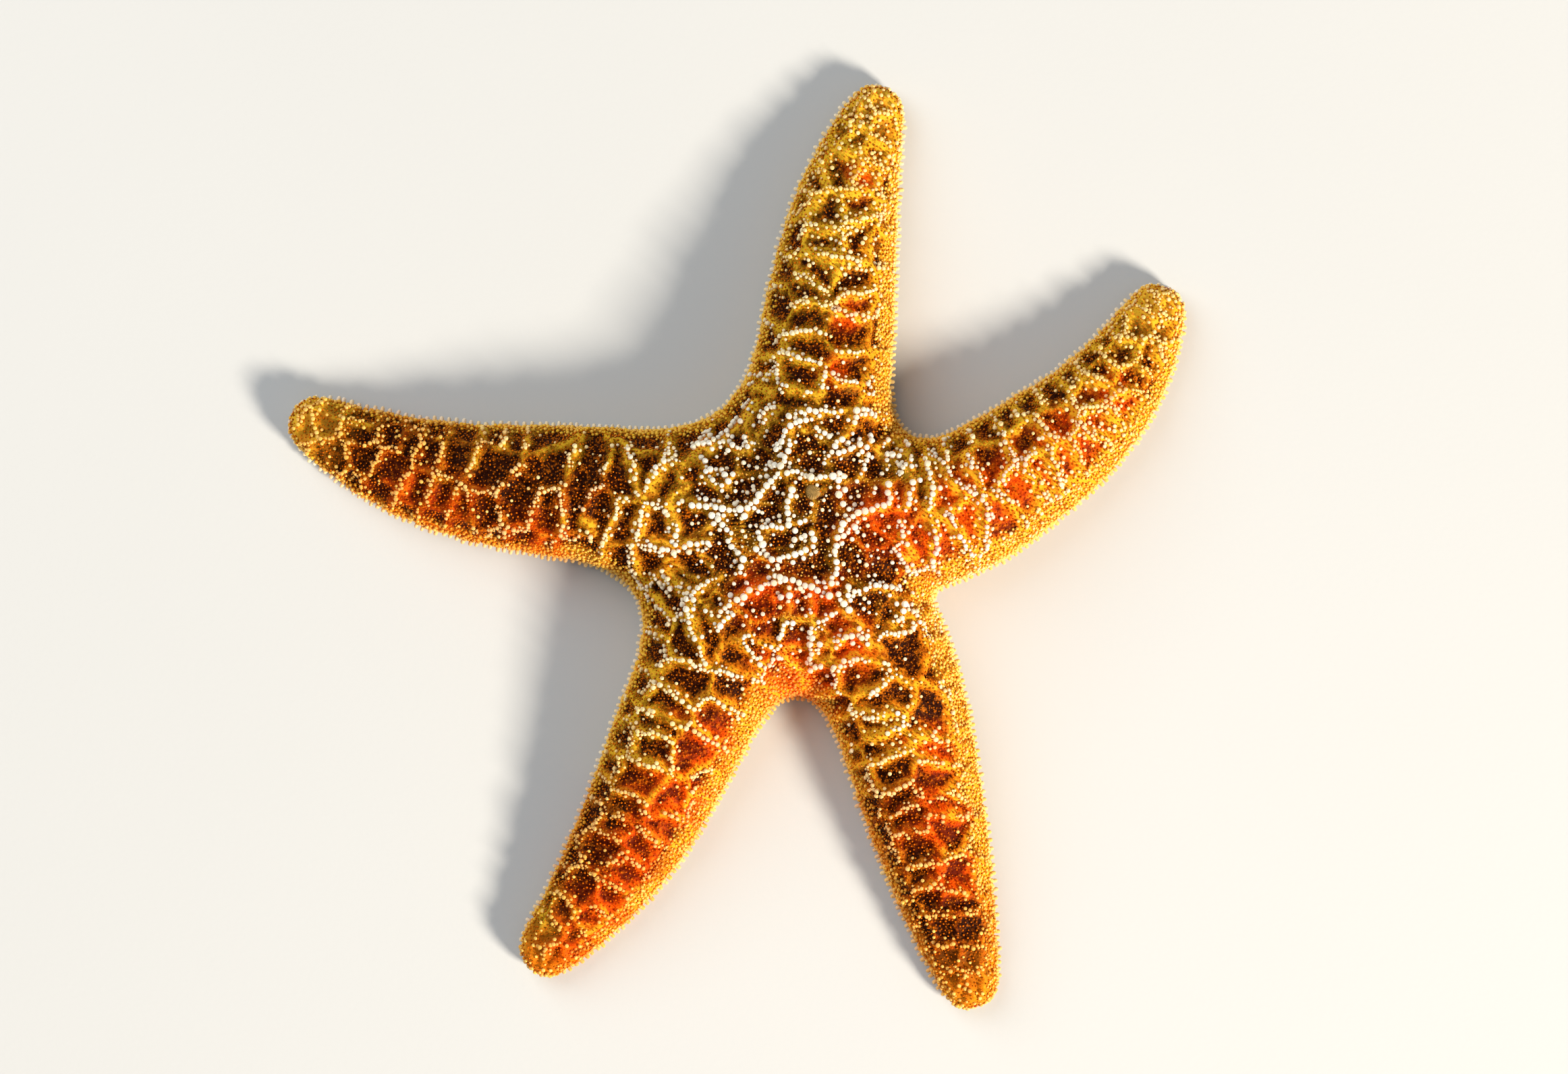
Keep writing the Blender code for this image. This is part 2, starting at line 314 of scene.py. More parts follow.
def half_sections(arm, side):
    """One grid of the body: rows along the arm, columns from the back round to the groove.

    The crown is a superellipse from the back's height to the rim, the rim a quarter
    ellipse tucked in to the sole, the sole flat, the groove a quarter sine. Heights at
    the round tip shrink as the half circle does.
    """
    length = ARMS[arm][0]
    straight = length - TIP_RADIUS
    tip = straight + TIP_RADIUS * np.sin(np.linspace(0.0, QUARTER, TIP_ROWS + 1)[1:])
    s = np.concatenate([np.linspace(0.0, straight, BODY_ROWS + 1), tip])
    x, y = centre_line(arm, s)
    angle, swing_sine = fan(arm, side, s)
    width = reach(x, y, angle)
    width[-1] = 0.0
    fullness = np.sqrt(1.0 - np.clip((s - straight) / TIP_RADIUS, 0.0, 1.0) ** 2)
    tuck = np.minimum(RIM_TUCK, MOST_TUCK * width)
    sole = RIM_HEIGHT * (1.0 - fullness)
    edge = np.minimum(groove_reach(s, swing_sine), MOST_GROOVE * width)
    depth = GROOVE_DEPTH + (MOUTH_DEPTH - GROOVE_DEPTH) * ease(MOUTH_EASE - s / MOUTH_RADIUS)

    band = section_columns()[None, :]
    width, fullness, tuck, sole, edge, depth = (
        v[:, None] for v in (width, fullness, tuck, sole, edge, depth))
    rise = (back_height(arm, s)[:, None] - RIM_HEIGHT) * fullness
    crown = np.clip(band, 0.0, 1.0) * QUARTER
    rim = np.clip(band - 1.0, 0.0, 1.0) * QUARTER
    flat = np.clip(band - 2.0, 0.0, 1.0)
    groove = np.clip(band - 3.0, 0.0, 1.0)
    inner = width - tuck
    across = np.where(band <= 1.0, width * np.sin(crown) ** CROWN_POWER,
                      width - tuck * (1.0 - np.cos(rim)))
    across = np.where(band > 2.0, inner + (edge - inner) * flat, across)
    across = np.where(band > 3.0, edge * (1.0 - groove), across)
    z = np.where(band <= 1.0, RIM_HEIGHT + rise * np.clip(np.cos(crown), 0.0, 1.0) ** CROWN_POWER,
                 RIM_HEIGHT - RIM_HEIGHT * fullness * np.sin(rim))
    z = np.where(band > 2.0, sole + 0.0 * band, z)
    z = np.where(band > 3.0, sole + depth * fullness * np.sin(groove * QUARTER), z)
    px = x[:, None] + across * np.cos(angle)[:, None] + MIDDLE[0]
    py = y[:, None] + across * np.sin(angle)[:, None] + MIDDLE[1]
    return np.stack([px, py, z], axis=2), s


# ---- the net of ridges ------------------------------------------------------

NET_CENTRE = (-0.0035, -0.0005)     # of the pattern, from the disc's middle
DISC_CELLS = 64
DISC_CELL_STEP = 0.0031             # sunflower spacing of the disc's pits
GOLDEN_TURN = math.radians(137.508)
ARM_CELLS_FROM = 0.027
ARM_CELL_PITCH = 0.0057             # between the cross ridges of an arm
ARM_CELL_ACROSS = (0.36, 1.04)      # rows of pits each side of the mid line, in half widths
COLUMN_STAGGER = 0.5                # shift of the outer row along the arm, in pitches
SIDE_STAGGER = 0.22                 # shift of the two sides against each other
CELL_JITTER = 0.0010
NET_DRAWS = 538                     # pairs of shifts drawn, more than there are pits
STRING_CLEARANCE = 0.0013           # between the disc's pits and its strings
MISSING_PITS = 0.10                 # share of an arm's pits that run together with a neighbour
WANDER = 0.00075                    # how far the walls stray from straight
WANDER_LENGTH = 0.007
DISC_WALL_STRENGTH = 0.64           # of the strongest wall between the disc's strings
# An arm's wall strength: least, share from chance, and share for lying across the arm.
ARM_WALL_STRENGTH = (0.12, 0.45, 0.43)
WALL_HASH = (12.9898, 78.233, 43758.5453)   # scrambles two pit numbers to a chance from 0 to 1
CROSS_RIDGE_SWEEP = 0.35            # how far a cross ridge bends back to the disc
# Bead strings of the disc, each through a few plan places in mm from its middle.
DISC_STRINGS = (
    ((-23.5, 4.3), (-19.0, 4.0), (-15.0, 3.4), (-11.4, 3.8), (-7.0, 8.8), (-4.3, 12.1),
     (-2.7, 18.0), (-2.4, 23.5)),
    ((-18.0, 1.6), (-15.8, -0.8), (-14.8, -3.8), (-12.8, -6.6), (-13.0, -10.5)),
    ((-19.5, 3.0), (-17.0, 0.5), (-16.5, 3.2)),
    ((-17.5, -18.5), (-13.6, -15.7), (-10.7, -13.6), (-6.4, -12.1), (-2.9, -11.7), (0.7, -12.5),
     (4.3, -13.9), (7.9, -15.7), (10.7, -18.5)),
    ((5.7, -13.0), (7.2, -9.3), (6.7, -5.7), (7.9, -1.4), (10.7, 2.1), (15.0, 3.6), (18.6, 5.0),
     (17.9, 9.6)),
    ((-3.6, 11.0), (-0.8, 11.4), (1.6, 9.6), (5.0, 10.4), (7.4, 9.6), (8.0, 5.5), (10.0, 3.2)),
    ((-2.3, 8.2), (-2.9, 3.0), (-2.9, 0.2), (-8.6, -0.8), (-8.6, -3.6), (-6.6, -7.0), (-3.0, -6.4),
     (0.9, -5.3), (2.2, -3.6), (2.1, -1.2)),
    ((-2.9, 0.2), (1.6, 1.5)),
    ((-2.9, -11.7), (-2.6, -18.0)),
    ((-1.5, 23.4), (1.4, 24.4), (4.6, 23.0)),
    ((0.3, 20.6), (3.6, 20.6), (6.0, 18.0), (8.4, 18.2), (10.8, 20.8), (11.4, 24.3), (14.5, 24.4)),
    ((5.5, 14.6), (7.6, 17.4)),
    ((-11.4, 16.2), (-11.8, 20.7), (-13.0, 22.9), (-10.7, 27.4)),
    ((-13.0, 22.9), (-18.6, 17.6), (-22.0, 17.0), (-24.5, 14.2), (-28.6, 13.5), (-32.0, 11.0)),
    ((-8.4, 22.0), (-7.4, 24.6), (-4.4, 25.0)),
    ((-13.0, 31.2), (-10.0, 32.2), (-5.7, 31.8)),
    ((-21.0, 11.2), (-17.1, 11.5), (-15.4, 8.0)),
    ((-28.8, 4.0), (-27.2, 6.6), (-24.8, 8.7)),
    ((-28.8, 4.0), (-26.4, -0.7), (-27.2, -5.0), (-32.4, -3.6)),
    ((-27.2, -4.6), (-23.6, -3.9), (-19.6, -3.4)),
    ((-17.5, -10.6), (-21.5, -13.2), (-24.0, -15.6), (-24.3, -18.0), (-23.2, -21.4)),
    ((-20.4, -17.6), (-18.0, -20.8), (-14.2, -18.0)),
    ((2.1, -18.0), (2.4, -23.0), (2.1, -30.0)),
    ((2.3, -25.4), (6.4, -25.0), (11.4, -22.8), (14.5, -25.5)),
    ((10.7, -13.8), (15.0, -12.9), (19.3, -13.6), (21.5, -16.6), (20.7, -20.0), (18.2, -22.4)),
    ((20.5, 1.0), (21.6, -3.2), (24.4, -7.2)),
    ((17.8, 13.4), (22.1, 15.6), (23.6, 10.0), (22.4, 3.6)),
    ((26.0, 14.6), (27.6, 8.0), (26.4, 1.8)),
)
STRING_STEP = 0.0004
CHUNK = 20000                       # points compared at a time


def arm_plan(arm, s, across):
    """Plan place at distance s along the arm, and a signed distance on to its left side."""
    x, y = centre_line(arm, s)
    square = bearing(arm, s) + QUARTER
    return x + across * np.cos(square), y + across * np.sin(square)


@lru_cache(maxsize=None)
def net_sites():
    """Middles of the pits, and the direction of the arm that each is on (none on the disc).

    The disc's lie on a sunflower spiral, each a golden turn on and at the root of its
    number, clear of the strings. The arms' lie in staggered rows on both sides. All are
    shifted a little by chance, and a few of the arms' are left out.
    """
    rng = draws("net")
    k = np.arange(DISC_CELLS)
    radius = DISC_CELL_STEP * np.sqrt(k + 0.5)
    x = [NET_CENTRE[0] + radius * np.cos(k * GOLDEN_TURN)]
    y = [NET_CENTRE[1] + radius * np.sin(k * GOLDEN_TURN)]
    turn = [np.full(DISC_CELLS, np.nan)]
    for arm, (length, *_) in ARMS.items():
        rows = np.arange(ARM_CELLS_FROM, length + ARM_CELL_PITCH, ARM_CELL_PITCH)
        for side in (-1.0, 1.0):
            for column, share in enumerate(ARM_CELL_ACROSS):
                s = rows + (COLUMN_STAGGER * column + SIDE_STAGGER * side) * ARM_CELL_PITCH
                width = half_width(arm, np.clip(s, 0.0, length))
                s_swept = np.clip(s - CROSS_RIDGE_SWEEP * share * width, 0.0, length)
                px, py = arm_plan(arm, s_swept, side * share * width)
                x.append(px)
                y.append(py)
                turn.append(bearing(arm, s_swept))
    x, y, turn = np.concatenate(x), np.concatenate(y), np.concatenate(turn)
    jitter = rng.normal(0.0, CELL_JITTER, (2, NET_DRAWS))[:, :len(x)]
    sites = np.stack([x, y] + jitter, axis=1)
    on_disc = np.isnan(turn)
    far = np.hypot(x - NET_CENTRE[0], y - NET_CENTRE[1]) > DISC_CELL_STEP * math.sqrt(DISC_CELLS)
    clear = string_distance(sites[:, 0], sites[:, 1]) > STRING_CLEARANCE
    keep = np.where(on_disc, clear, far & (rng.random(len(x)) > MISSING_PITS))
    return sites[keep], turn[keep]


def wander(x, y):
    """Plan shift that bends the net's walls: soft waves in x and in y, for skin and beads alike."""
    return tuple(WANDER * lumps(x, y, 0.0 * x, WANDER_LENGTH, name)
                 for name in ("wander_x", "wander_y"))


def smooth_line(places, step):
    """A plan line through the places: a Catmull-Rom curve, sampled about one step apart."""
    p = np.array(places)
    p = np.concatenate([[2.0 * p[0] - p[1]], p, [2.0 * p[-1] - p[-2]]])
    out = []
    for a, b, c, d in zip(p[:-3], p[1:-2], p[2:-1], p[3:]):
        t = np.arange(0.0, 1.0, step / math.dist(b, c))[:, None]
        out.append(0.5 * (2.0 * b + (c - a) * t + (2.0 * a - 5.0 * b + 4.0 * c - d) * t ** 2
                          + (3.0 * b - 3.0 * c + d - a) * t ** 3))
    return np.concatenate(out)


@lru_cache(maxsize=None)
def net_strings():
    """Bead strings of the disc as plan lines in metres."""
    return [smooth_line(np.array(places) * MM, STRING_STEP) for places in DISC_STRINGS]


def nearest_distance(x, y, points):
    """Plan distance to the nearest of some points: the root of the least sum of squares."""
    flat_x, flat_y = x.ravel(), y.ravel()
    out = np.empty(len(flat_x))
    for start in range(0, len(flat_x), CHUNK):
        part = slice(start, start + CHUNK)
        dx = flat_x[part, None] - points[None, :, 0]
        dy = flat_y[part, None] - points[None, :, 1]
        out[part] = np.sqrt(np.min(dx * dx + dy * dy, axis=1))
    return out.reshape(x.shape)


def string_distance(x, y):
    """Distance to the nearest string, measured to every second point of it."""
    return nearest_distance(x, y, np.concatenate(net_strings())[::2])


def wall_distance(x, y):
    """Distance to the wall between the two nearest pits, and how strong that wall is.

    The distance to the line half way between two points is the difference of the squared
    distances to them, over twice the distance between them.
    """
    sites, _ = net_sites()
    shift_x, shift_y = wander(x, y)
    flat_x, flat_y = (x + shift_x).ravel(), (y + shift_y).ravel()
    gap = np.empty(len(flat_x))
    pair = np.empty((len(flat_x), 2), dtype=np.int64)
    for start in range(0, len(flat_x), CHUNK):
        part = slice(start, start + CHUNK)
        square = ((flat_x[part, None] - sites[None, :, 0]) ** 2
                  + (flat_y[part, None] - sites[None, :, 1]) ** 2)
        two = np.argpartition(square, 2, axis=1)[:, :2]
        near = np.take_along_axis(square, two, axis=1)
        order = np.argsort(near, axis=1)
        two, near = np.take_along_axis(two, order, 1), np.take_along_axis(near, order, 1)
        apart = np.hypot(*(sites[two[:, 0]] - sites[two[:, 1]]).T)
        gap[part] = (near[:, 1] - near[:, 0]) / (2.0 * apart)
        pair[part] = np.sort(two, axis=1)
    return gap.reshape(x.shape), wall_strength(pair[:, 0], pair[:, 1]).reshape(x.shape)


def wall_strength(a, b):
    """0 to 1 for the wall between two pits: a fixed chance, plus more for lying across an arm.

    The chance is what is left past the point of a large sine of the two pits' numbers.
    """
    sites, turn = net_sites()
    mixed = np.sin(a * WALL_HASH[0] + b * WALL_HASH[1]) * WALL_HASH[2]
    mixed = mixed - np.floor(mixed)
    apart = sites[b] - sites[a]
    along = np.abs(np.cos(np.arctan2(apart[..., 1], apart[..., 0]) - turn[a]))
    least, chance, across = ARM_WALL_STRENGTH
    on_arm = least + chance * mixed + across * ease((along - 0.45) * 2.5)
    return np.where(np.isnan(turn[a]) | np.isnan(turn[b]), DISC_WALL_STRENGTH * mixed, on_arm)


def wall_lines(step=0.0002, longest=0.007):
    """Plan lines of all the walls between neighbouring pits, each with its strength.

    Each runs square to the line between its two pits, through the middle, as far as no
    third pit is nearer, and is then bent by the wander.
    """
    sites, _ = net_sites()
    apart = np.hypot(*(sites[:, None, :] - sites[None, :, :]).transpose(2, 0, 1))
    first, second = np.nonzero(np.triu(apart < 2.0 * longest, 1))
    middle = (sites[first] + sites[second]) / 2.0
    along = (sites[second] - sites[first])[:, ::-1] * np.array([-1.0, 1.0])
    along /= np.hypot(*along.T)[:, None]
    t = np.arange(-longest, longest, step)
    lines = []
    for m, d, a, b in zip(middle, along, first, second):
        line = m + t[:, None] * d
        own = np.hypot(*(line - sites[a]).T)
        others = nearest_distance(line[:, 0], line[:, 1], sites)
        held = line[own <= others + 1e-9]
        if len(held) > 3:
            bent = held - np.stack(wander(held[:, 0], held[:, 1]), axis=1)
            lines.append((bent, float(wall_strength(a, b))))
    return lines


# ---- skin surface -----------------------------------------------------------

RIDGE_HALF_WIDTH = 0.0010
CROWN_FADE = (0.74, 0.92)      # band over which the net dies out towards the rim
WEAKEST_RIDGE = 0.45           # height of the weakest wall's ridge, in the strongest's
WEAK_WALL_SPREAD = 0.0012      # how far a pit's floor reaches over a weak wall
LUMP_HEIGHT = 0.00018
LUMP_LENGTH = 0.006
TIP_EASE = 0.03                # share of an arm's length over which the sinking eases off
TIP_SINKING = 0.35             # share of the sinking left at the very tip
# Depth of the skin under the solids at each band coordinate of the section.
DEPTH_BANDS = ((0.0, 0.7, 0.95, 1.3, 2.0, 3.0, 3.5, 4.0),
               (1.0, 0.95, 0.70, 0.52, 0.60, 0.85, 0.6, 0.4))
LIT_SIDE = (0.75, -0.66, 0.0)  # direction of the key light: painted light turns the colour from olive on the sides turned away to orange on the sides facing it
TONE_LEAN = (4.0, -7.0)        # how much further the tone leans to orange on the right and the lower arms, per metre
LIT_SIDE_TONE_RANGE = (-0.75, 1.1)
TONE_WAVE = (0.25, 0.02)       # height and length of its waves
CORE_FADE = (0.014, 0.032)     # from the disc's own colours to the arms'
MARK_WAVE = (0.35, 0.007)      # height and length of the waves on the marks' edges
WARM_EDGE = (0.2, 1.5)         # from a mark's full strength to none, in its radius
FIELD_EDGE = (0.3, 1.4)
WARM_FADE = (0.045, 0.060)     # way out along the left arm where the warm marks halve
# Red-orange markings: plan place from the disc's middle and radius.
WARM_MARKS = (
    (0.018, 0.001, 0.009), (0.026, -0.004, 0.008), (0.036, 0.004, 0.009), (0.046, 0.010, 0.009),
    (0.058, 0.019, 0.009), (0.067, 0.028, 0.006), (-0.008, -0.015, 0.007), (0.004, -0.016, 0.005),
    (-0.001, -0.033, 0.009), (-0.020, -0.047, 0.007), (-0.027, -0.060, 0.010),
    (-0.035, -0.072, 0.009), (-0.043, -0.082, 0.008), (-0.050, -0.091, 0.006),
    (0.029, -0.049, 0.006), (0.030, -0.063, 0.008), (0.033, -0.075, 0.006), (0.007, 0.034, 0.0035),
    (0.010, 0.045, 0.004), (-0.086, 0.008, 0.007), (-0.076, 0.003, 0.008), (-0.058, -0.003, 0.007),
    (0.010, -0.026, 0.006), (0.013, 0.075, 0.004),
)
# Broad darker fields of the outer arms, in the same terms: partly darker skin and partly painted
# shade, those of the left arm wholly painted shade.
DARK_MARKS = (
    (-0.046, 0.006, 0.007), (-0.064, 0.000, 0.018), (-0.088, 0.008, 0.022),
    (-0.044, -0.070, 0.017), (0.022, -0.066, 0.013), (0.030, -0.090, 0.020),
    (-0.053, -0.094, 0.011),
)
# Paler, yellower fields.
PALE_MARKS = (
    (0.011, 0.064, 0.015), (0.015, 0.084, 0.019), (0.080, 0.045, 0.014), (0.040, -0.016, 0.010),
    (0.036, 0.003, 0.010), (0.050, 0.012, 0.011), (0.064, 0.024, 0.011), (0.022, -0.042, 0.009),
)


def plan_marks(px, py, marks, edge, fade):
    """Soft round marks on the plan: the greatest, over the marks, of 1 less the eased way out.

    The way out runs over the fade, in radii stretched by the wavy edge.
    """
    total = np.zeros(len(px))
    for mx, my, radius in marks:
        far = np.hypot(px - mx, py - my) / (radius * edge)
        total = np.maximum(total, 1.0 - between(far, *fade))
    return total


def lumps(x, y, z, length, name):
    """Soft irregular waves from about -1 to 1: a quarter of the sum of eight sines.

    Each sine has a random direction, phase and wave length near the given one.
    """
    rng = draws(name)
    total = np.zeros_like(x)
    for _ in range(8):
        d = rng.normal(size=3)
        d /= np.linalg.norm(d)
        wave = length * rng.uniform(0.7, 1.5)
        total += np.sin((x * d[0] + y * d[1] + z * d[2]) * TURN / wave
                        + rng.uniform(0.0, TURN))
    return total / 4.0


def outward_normals(points, triangles):
    """Unit sums, at each point, of the cross products of its triangles' sides."""
    a, b, c = corners_of(points, triangles)
    face = np.cross(b - a, c - a)
    normals = np.zeros_like(points)
    for i in range(3):
        for axis in range(3):
            normals[:, axis] += np.bincount(triangles[:, i], face[:, axis], len(points))
    return normals / np.maximum(np.linalg.norm(normals, axis=1), 1e-12)[:, None]


def half_arm_grids():
    """The ten half-arm grids one after another: points, quads, map places and tags.

    On the map u is the share of the rows, and v counts the arms, with an arm's two
    halves on the two sides of its strip. The tags are the distance along the arm, the
    band, the number of the half and the share of the arm's length.
    """
    points, quads, maps, tags = [], [], [], []
    base = 0
    band = section_columns()
    for k, arm in enumerate(ARM_NAMES):
        for side in (-1, 1):
            grid, s = half_sections(arm, side)
            rows, columns = grid.shape[:2]
            index = base + np.arange(rows * columns).reshape(rows, columns)
            corners = [index[:-1, :-1], index[1:, :-1], index[1:, 1:], index[:-1, 1:]]
            u = (MAP_MARGIN + (1.0 - 2.0 * MAP_MARGIN) * np.arange(rows) / (rows - 1))[:, None]
            v = (k + 0.5 + side * MAP_HALF * np.arange(columns) / (columns - 1))[None, :] / 5.0
            tag = (s[:, None], band[None, :], 2.0 * k + (side > 0), s[:, None] / ARMS[arm][0])
            points.append(grid.reshape(-1, 3))
            quads.append(np.stack(corners if side > 0 else corners[::-1], axis=2).reshape(-1, 4))
            maps.append(np.stack(np.broadcast_arrays(u, v), axis=2).reshape(-1, 2))
            tags.append(np.stack(np.broadcast_arrays(*tag), axis=2).reshape(-1, 4))
            base += rows * columns
    return [np.concatenate(parts) for parts in (points, quads, maps, tags)]


def welded_body():
    """The grids as one closed mesh: points, triangles, each corner's map place, and tags.

    Points that round to the same place become one, and triangles that lose a corner go.
    """
    points, quads, maps, tags = half_arm_grids()
    corners = np.concatenate([quads[:, [0, 1, 2]], quads[:, [0, 2, 3]]])
    key = np.round(points / WELD).astype(np.int64)
    _, keep, welded = np.unique(key, axis=0, return_index=True, return_inverse=True)
    triangles = welded.ravel()[corners]
    a, b, c = triangles.T
    whole = (a != b) & (b != c) & (a != c)
    return points[keep], triangles[whole], maps[corners[whole]], tags[keep]


@lru_cache(maxsize=None)
def skin_model(coat_depth, ridge_height, pit_depth):
    """The whole skin: the body sunk along its normals, embossed, with its markings.

    The sinking is the coat's depth, less the ridge height near a wall or string (a bell
    curve of the distance), plus the pit depth away from them, plus soft lumps. It eases
    off at the arm tips. The lit-side tone is painted light: it grows with the normal's lean
    to the key light, and also with the place in plan and with soft waves.
    """
    points, triangles, maps, tags = welded_body()
    s, band, half, share = tags.T
    normals = outward_normals(points, triangles)
    x, y, z = points.T
    px, py = x - MIDDLE[0], y - MIDDLE[1]
    wall, strength = wall_distance(px, py)
    string = string_distance(px, py)
    crown = 1.0 - between(band, *CROWN_FADE)
    wall_height = WEAKEST_RIDGE + (1.0 - WEAKEST_RIDGE) * strength
    ridge = np.maximum(np.exp(-(wall / RIDGE_HALF_WIDTH) ** 2) * wall_height,
                       np.exp(-(string / RIDGE_HALF_WIDTH) ** 2)) * crown
    near = np.minimum(wall + WEAK_WALL_SPREAD * (1.0 - strength) ** 2, string)
    pit = (1.0 - np.exp(-(near / (2.0 * RIDGE_HALF_WIDTH)) ** 2)) * crown
    depth = np.interp(band, *DEPTH_BANDS) * coat_depth
    depth = depth - ridge_height * ridge + pit_depth * pit
    depth = depth + LUMP_HEIGHT * lumps(x, y, z, LUMP_LENGTH, "lumps") * (band < 2.0)
    room = np.clip((1.0 - share) / TIP_EASE, TIP_SINKING, 1.0)
    points = points - normals * (depth * room)[:, None]

    # Painted light: the tone rises on the sides facing the key light; plan lean and waves add to
    # it.
    ripe = normals @ np.array(LIT_SIDE) + TONE_WAVE[0] * lumps(x, y, z, TONE_WAVE[1], "ripe")
    ripe = between(ripe + TONE_LEAN[0] * px + TONE_LEAN[1] * py, *LIT_SIDE_TONE_RANGE)
    edge = 1.0 + MARK_WAVE[0] * lumps(x, y, z, MARK_WAVE[1], "mark_edge")
    warm = plan_marks(px, py, WARM_MARKS, edge, WARM_EDGE) * (1.0 - 0.5 * between(-px, *WARM_FADE))
    # Dark fields are partly painted shade; pale fields are paler and yellower.
    dark = (plan_marks(px, py, DARK_MARKS, edge, FIELD_EDGE)
            - plan_marks(px, py, PALE_MARKS, edge, FIELD_EDGE))
    core = 1.0 - between(np.hypot(px, py), *CORE_FADE)
    return {"points": points, "normals": outward_normals(points, triangles),
            "triangles": triangles, "maps": maps, "s": s, "band": band, "half": half,
            "share": share, "ridge": ridge, "pit": pit, "warm": warm, "dark": dark,
            "core": core, "ripe": ripe}


# ---- placing and stamping small pieces --------------------------------------

SEAT_TAGS = ("s", "band", "share", "ridge", "pit", "warm", "dark", "core", "ripe")
SQUASH = (0.94, 1.06)          # range of the chance stretch of a copy's two widths


def sizes():
    """The add-on's sizes, as they stand on the scene."""
    return bpy.context.scene.sea_star_sizes


def skin():
    """The skin at the add-on's sizes."""
    own = sizes()
    return skin_model(own.coat_depth, own.ridge_height, own.pit_depth)


def face_values():
    """Area of each skin triangle and the mean of each of its tags."""
    model = skin()
    tri = model["triangles"]
    area = double_area(*corners_of(model["points"], tri)) / 2.0
    return area, {name: model[name][tri].mean(axis=1) for name in SEAT_TAGS}


def seats_on(faces, weights):
    """Places on the given faces: position, normal, map place and tags.

    Each is the sum of its values at the face's three corners, times their weights.
    """
    model = skin()
    tri = model["triangles"][faces]
    values = {"at": model["points"][tri], "up": model["normals"][tri], "map": model["maps"][faces]}
    values.update((name, model[name][tri]) for name in SEAT_TAGS)
    seats = {name: np.einsum("nk,nk...->n...", weights, v) for name, v in values.items()}
    seats["up"] = unit(seats["up"])
    return seats


def scatter(name, spacing, allow, crowd=7.0):
    """Seats at least one spacing apart, by chance, where allow(tags) is above zero.

    The trial places number the crowd times the allowed area over the spacing squared. A
    triangle's chance of one grows with its area times allow(tags).
    """
    rng = draws(name)
    area, mean = face_values()
    share = area * np.clip(allow(mean), 0.0, None)
    count = int(crowd * share.sum() / spacing ** 2)
    faces = rng.choice(len(area), count, p=share / share.sum())
    r = rng.random((count, 2))
    r = np.where((r.sum(axis=1) > 1.0)[:, None], 1.0 - r, r)
    weights = np.stack([1.0 - r.sum(axis=1), r[:, 0], r[:, 1]], axis=1)
    return thin(seats_on(faces, weights), spacing)


def pick(seats, chosen):
    """The chosen seats alone, with all that they carry."""
    return {name: values[chosen] for name, values in seats.items()}


def thin(seats, spacing):
    """Keep each seat, in order, that is at least one spacing from those kept before it."""
    points = seats["at"]
    tree = KDTree(len(points))
    for i, p in enumerate(points):
        tree.insert(p, i)
    tree.balance()
    spacing = np.broadcast_to(spacing, len(points))
    taken = np.zeros(len(points), dtype=bool)
    gone = np.zeros(len(points), dtype=bool)
    for i, p in enumerate(points):
        if gone[i]:
            continue
        taken[i] = True
        for _, j, _ in tree.find_range(p, spacing[i]):
            gone[j] = True
    return pick(seats, taken)


def drop_seats(x, y):
    """Seats straight under plan places, found by dropping a line onto the skin's back.

    A corner's weight is the area between the place and the other two corners, over the
    whole triangle's.
    """
    model = skin()
    tree = BVHTree.FromPolygons(model["points"].tolist(), model["triangles"].tolist())
    high = DISC_HEIGHT * 2.0
    faces, places, held = [], [], []
    for i, (px, py) in enumerate(zip(x + MIDDLE[0], y + MIDDLE[1])):
        at, _, face, _ = tree.ray_cast(Vector((px, py, high)), Vector((0.0, 0.0, -1.0)))
        if face is not None:
            faces.append(face)
            places.append(at)
            held.append(i)
    faces, places = np.array(faces), np.array(places)
    a, b, c = corners_of(model["points"], model["triangles"][faces])
    whole = double_area(a, b, c)
    wb = double_area(a, places, c) / whole
    wc = double_area(a, b, places) / whole
    return seats_on(faces, np.stack([1.0 - wb - wc, wb, wc], axis=1)), np.array(held)


def ring_triangles(rings, steps):
    """Faces of a closed grid of rings: the walls and a fan to each pole; the poles come last."""
    index = np.arange(rings * steps).reshape(rings, steps)
    after = np.roll(index, -1, axis=1)
    bottom, top = np.full(steps, rings * steps), np.full(steps, rings * steps + 1)
    strips = ((bottom, after[0], index[0]), (index[:-1], after[:-1], after[1:]),
              (index[:-1], after[1:], index[1:]), (index[-1], after[-1], top))
    return np.concatenate([np.stack(strip, axis=-1).reshape(-1, 3) for strip in strips])


def lathe(profile, sides):
    """A closed turned form from (radius, height) pairs, the first and the last at its poles.

    Each ring's point is at radius times the cosine and sine of its turn. The map is a
    disc half a unit in radius, with the tip in its middle and the root round its edge.
    """
    profile = np.array(profile)
    rings = len(profile) - 2
    round_t = around(np.arange(sides) / sides * TURN)
    level = np.broadcast_to(profile[1:-1, 1, None, None], (rings, sides, 1))
    points = np.concatenate([profile[1:-1, 0, None, None] * round_t, level], axis=2).reshape(-1, 3)
    poles = [[0.0, 0.0, profile[0, 1]], [0.0, 0.0, profile[-1, 1]]]
    shares = 0.5 * (rings - np.arange(rings)) / (rings + 1.0)
    places = np.concatenate([(shares[:, None, None] * round_t).reshape(-1, 2), [[0.0, 0.0]] * 2])
    triangles = ring_triangles(rings, sides)
    maps = places[triangles]
    maps[:sides, 0] = 0.5 * round_t
    return np.concatenate([points, poles]), triangles, maps


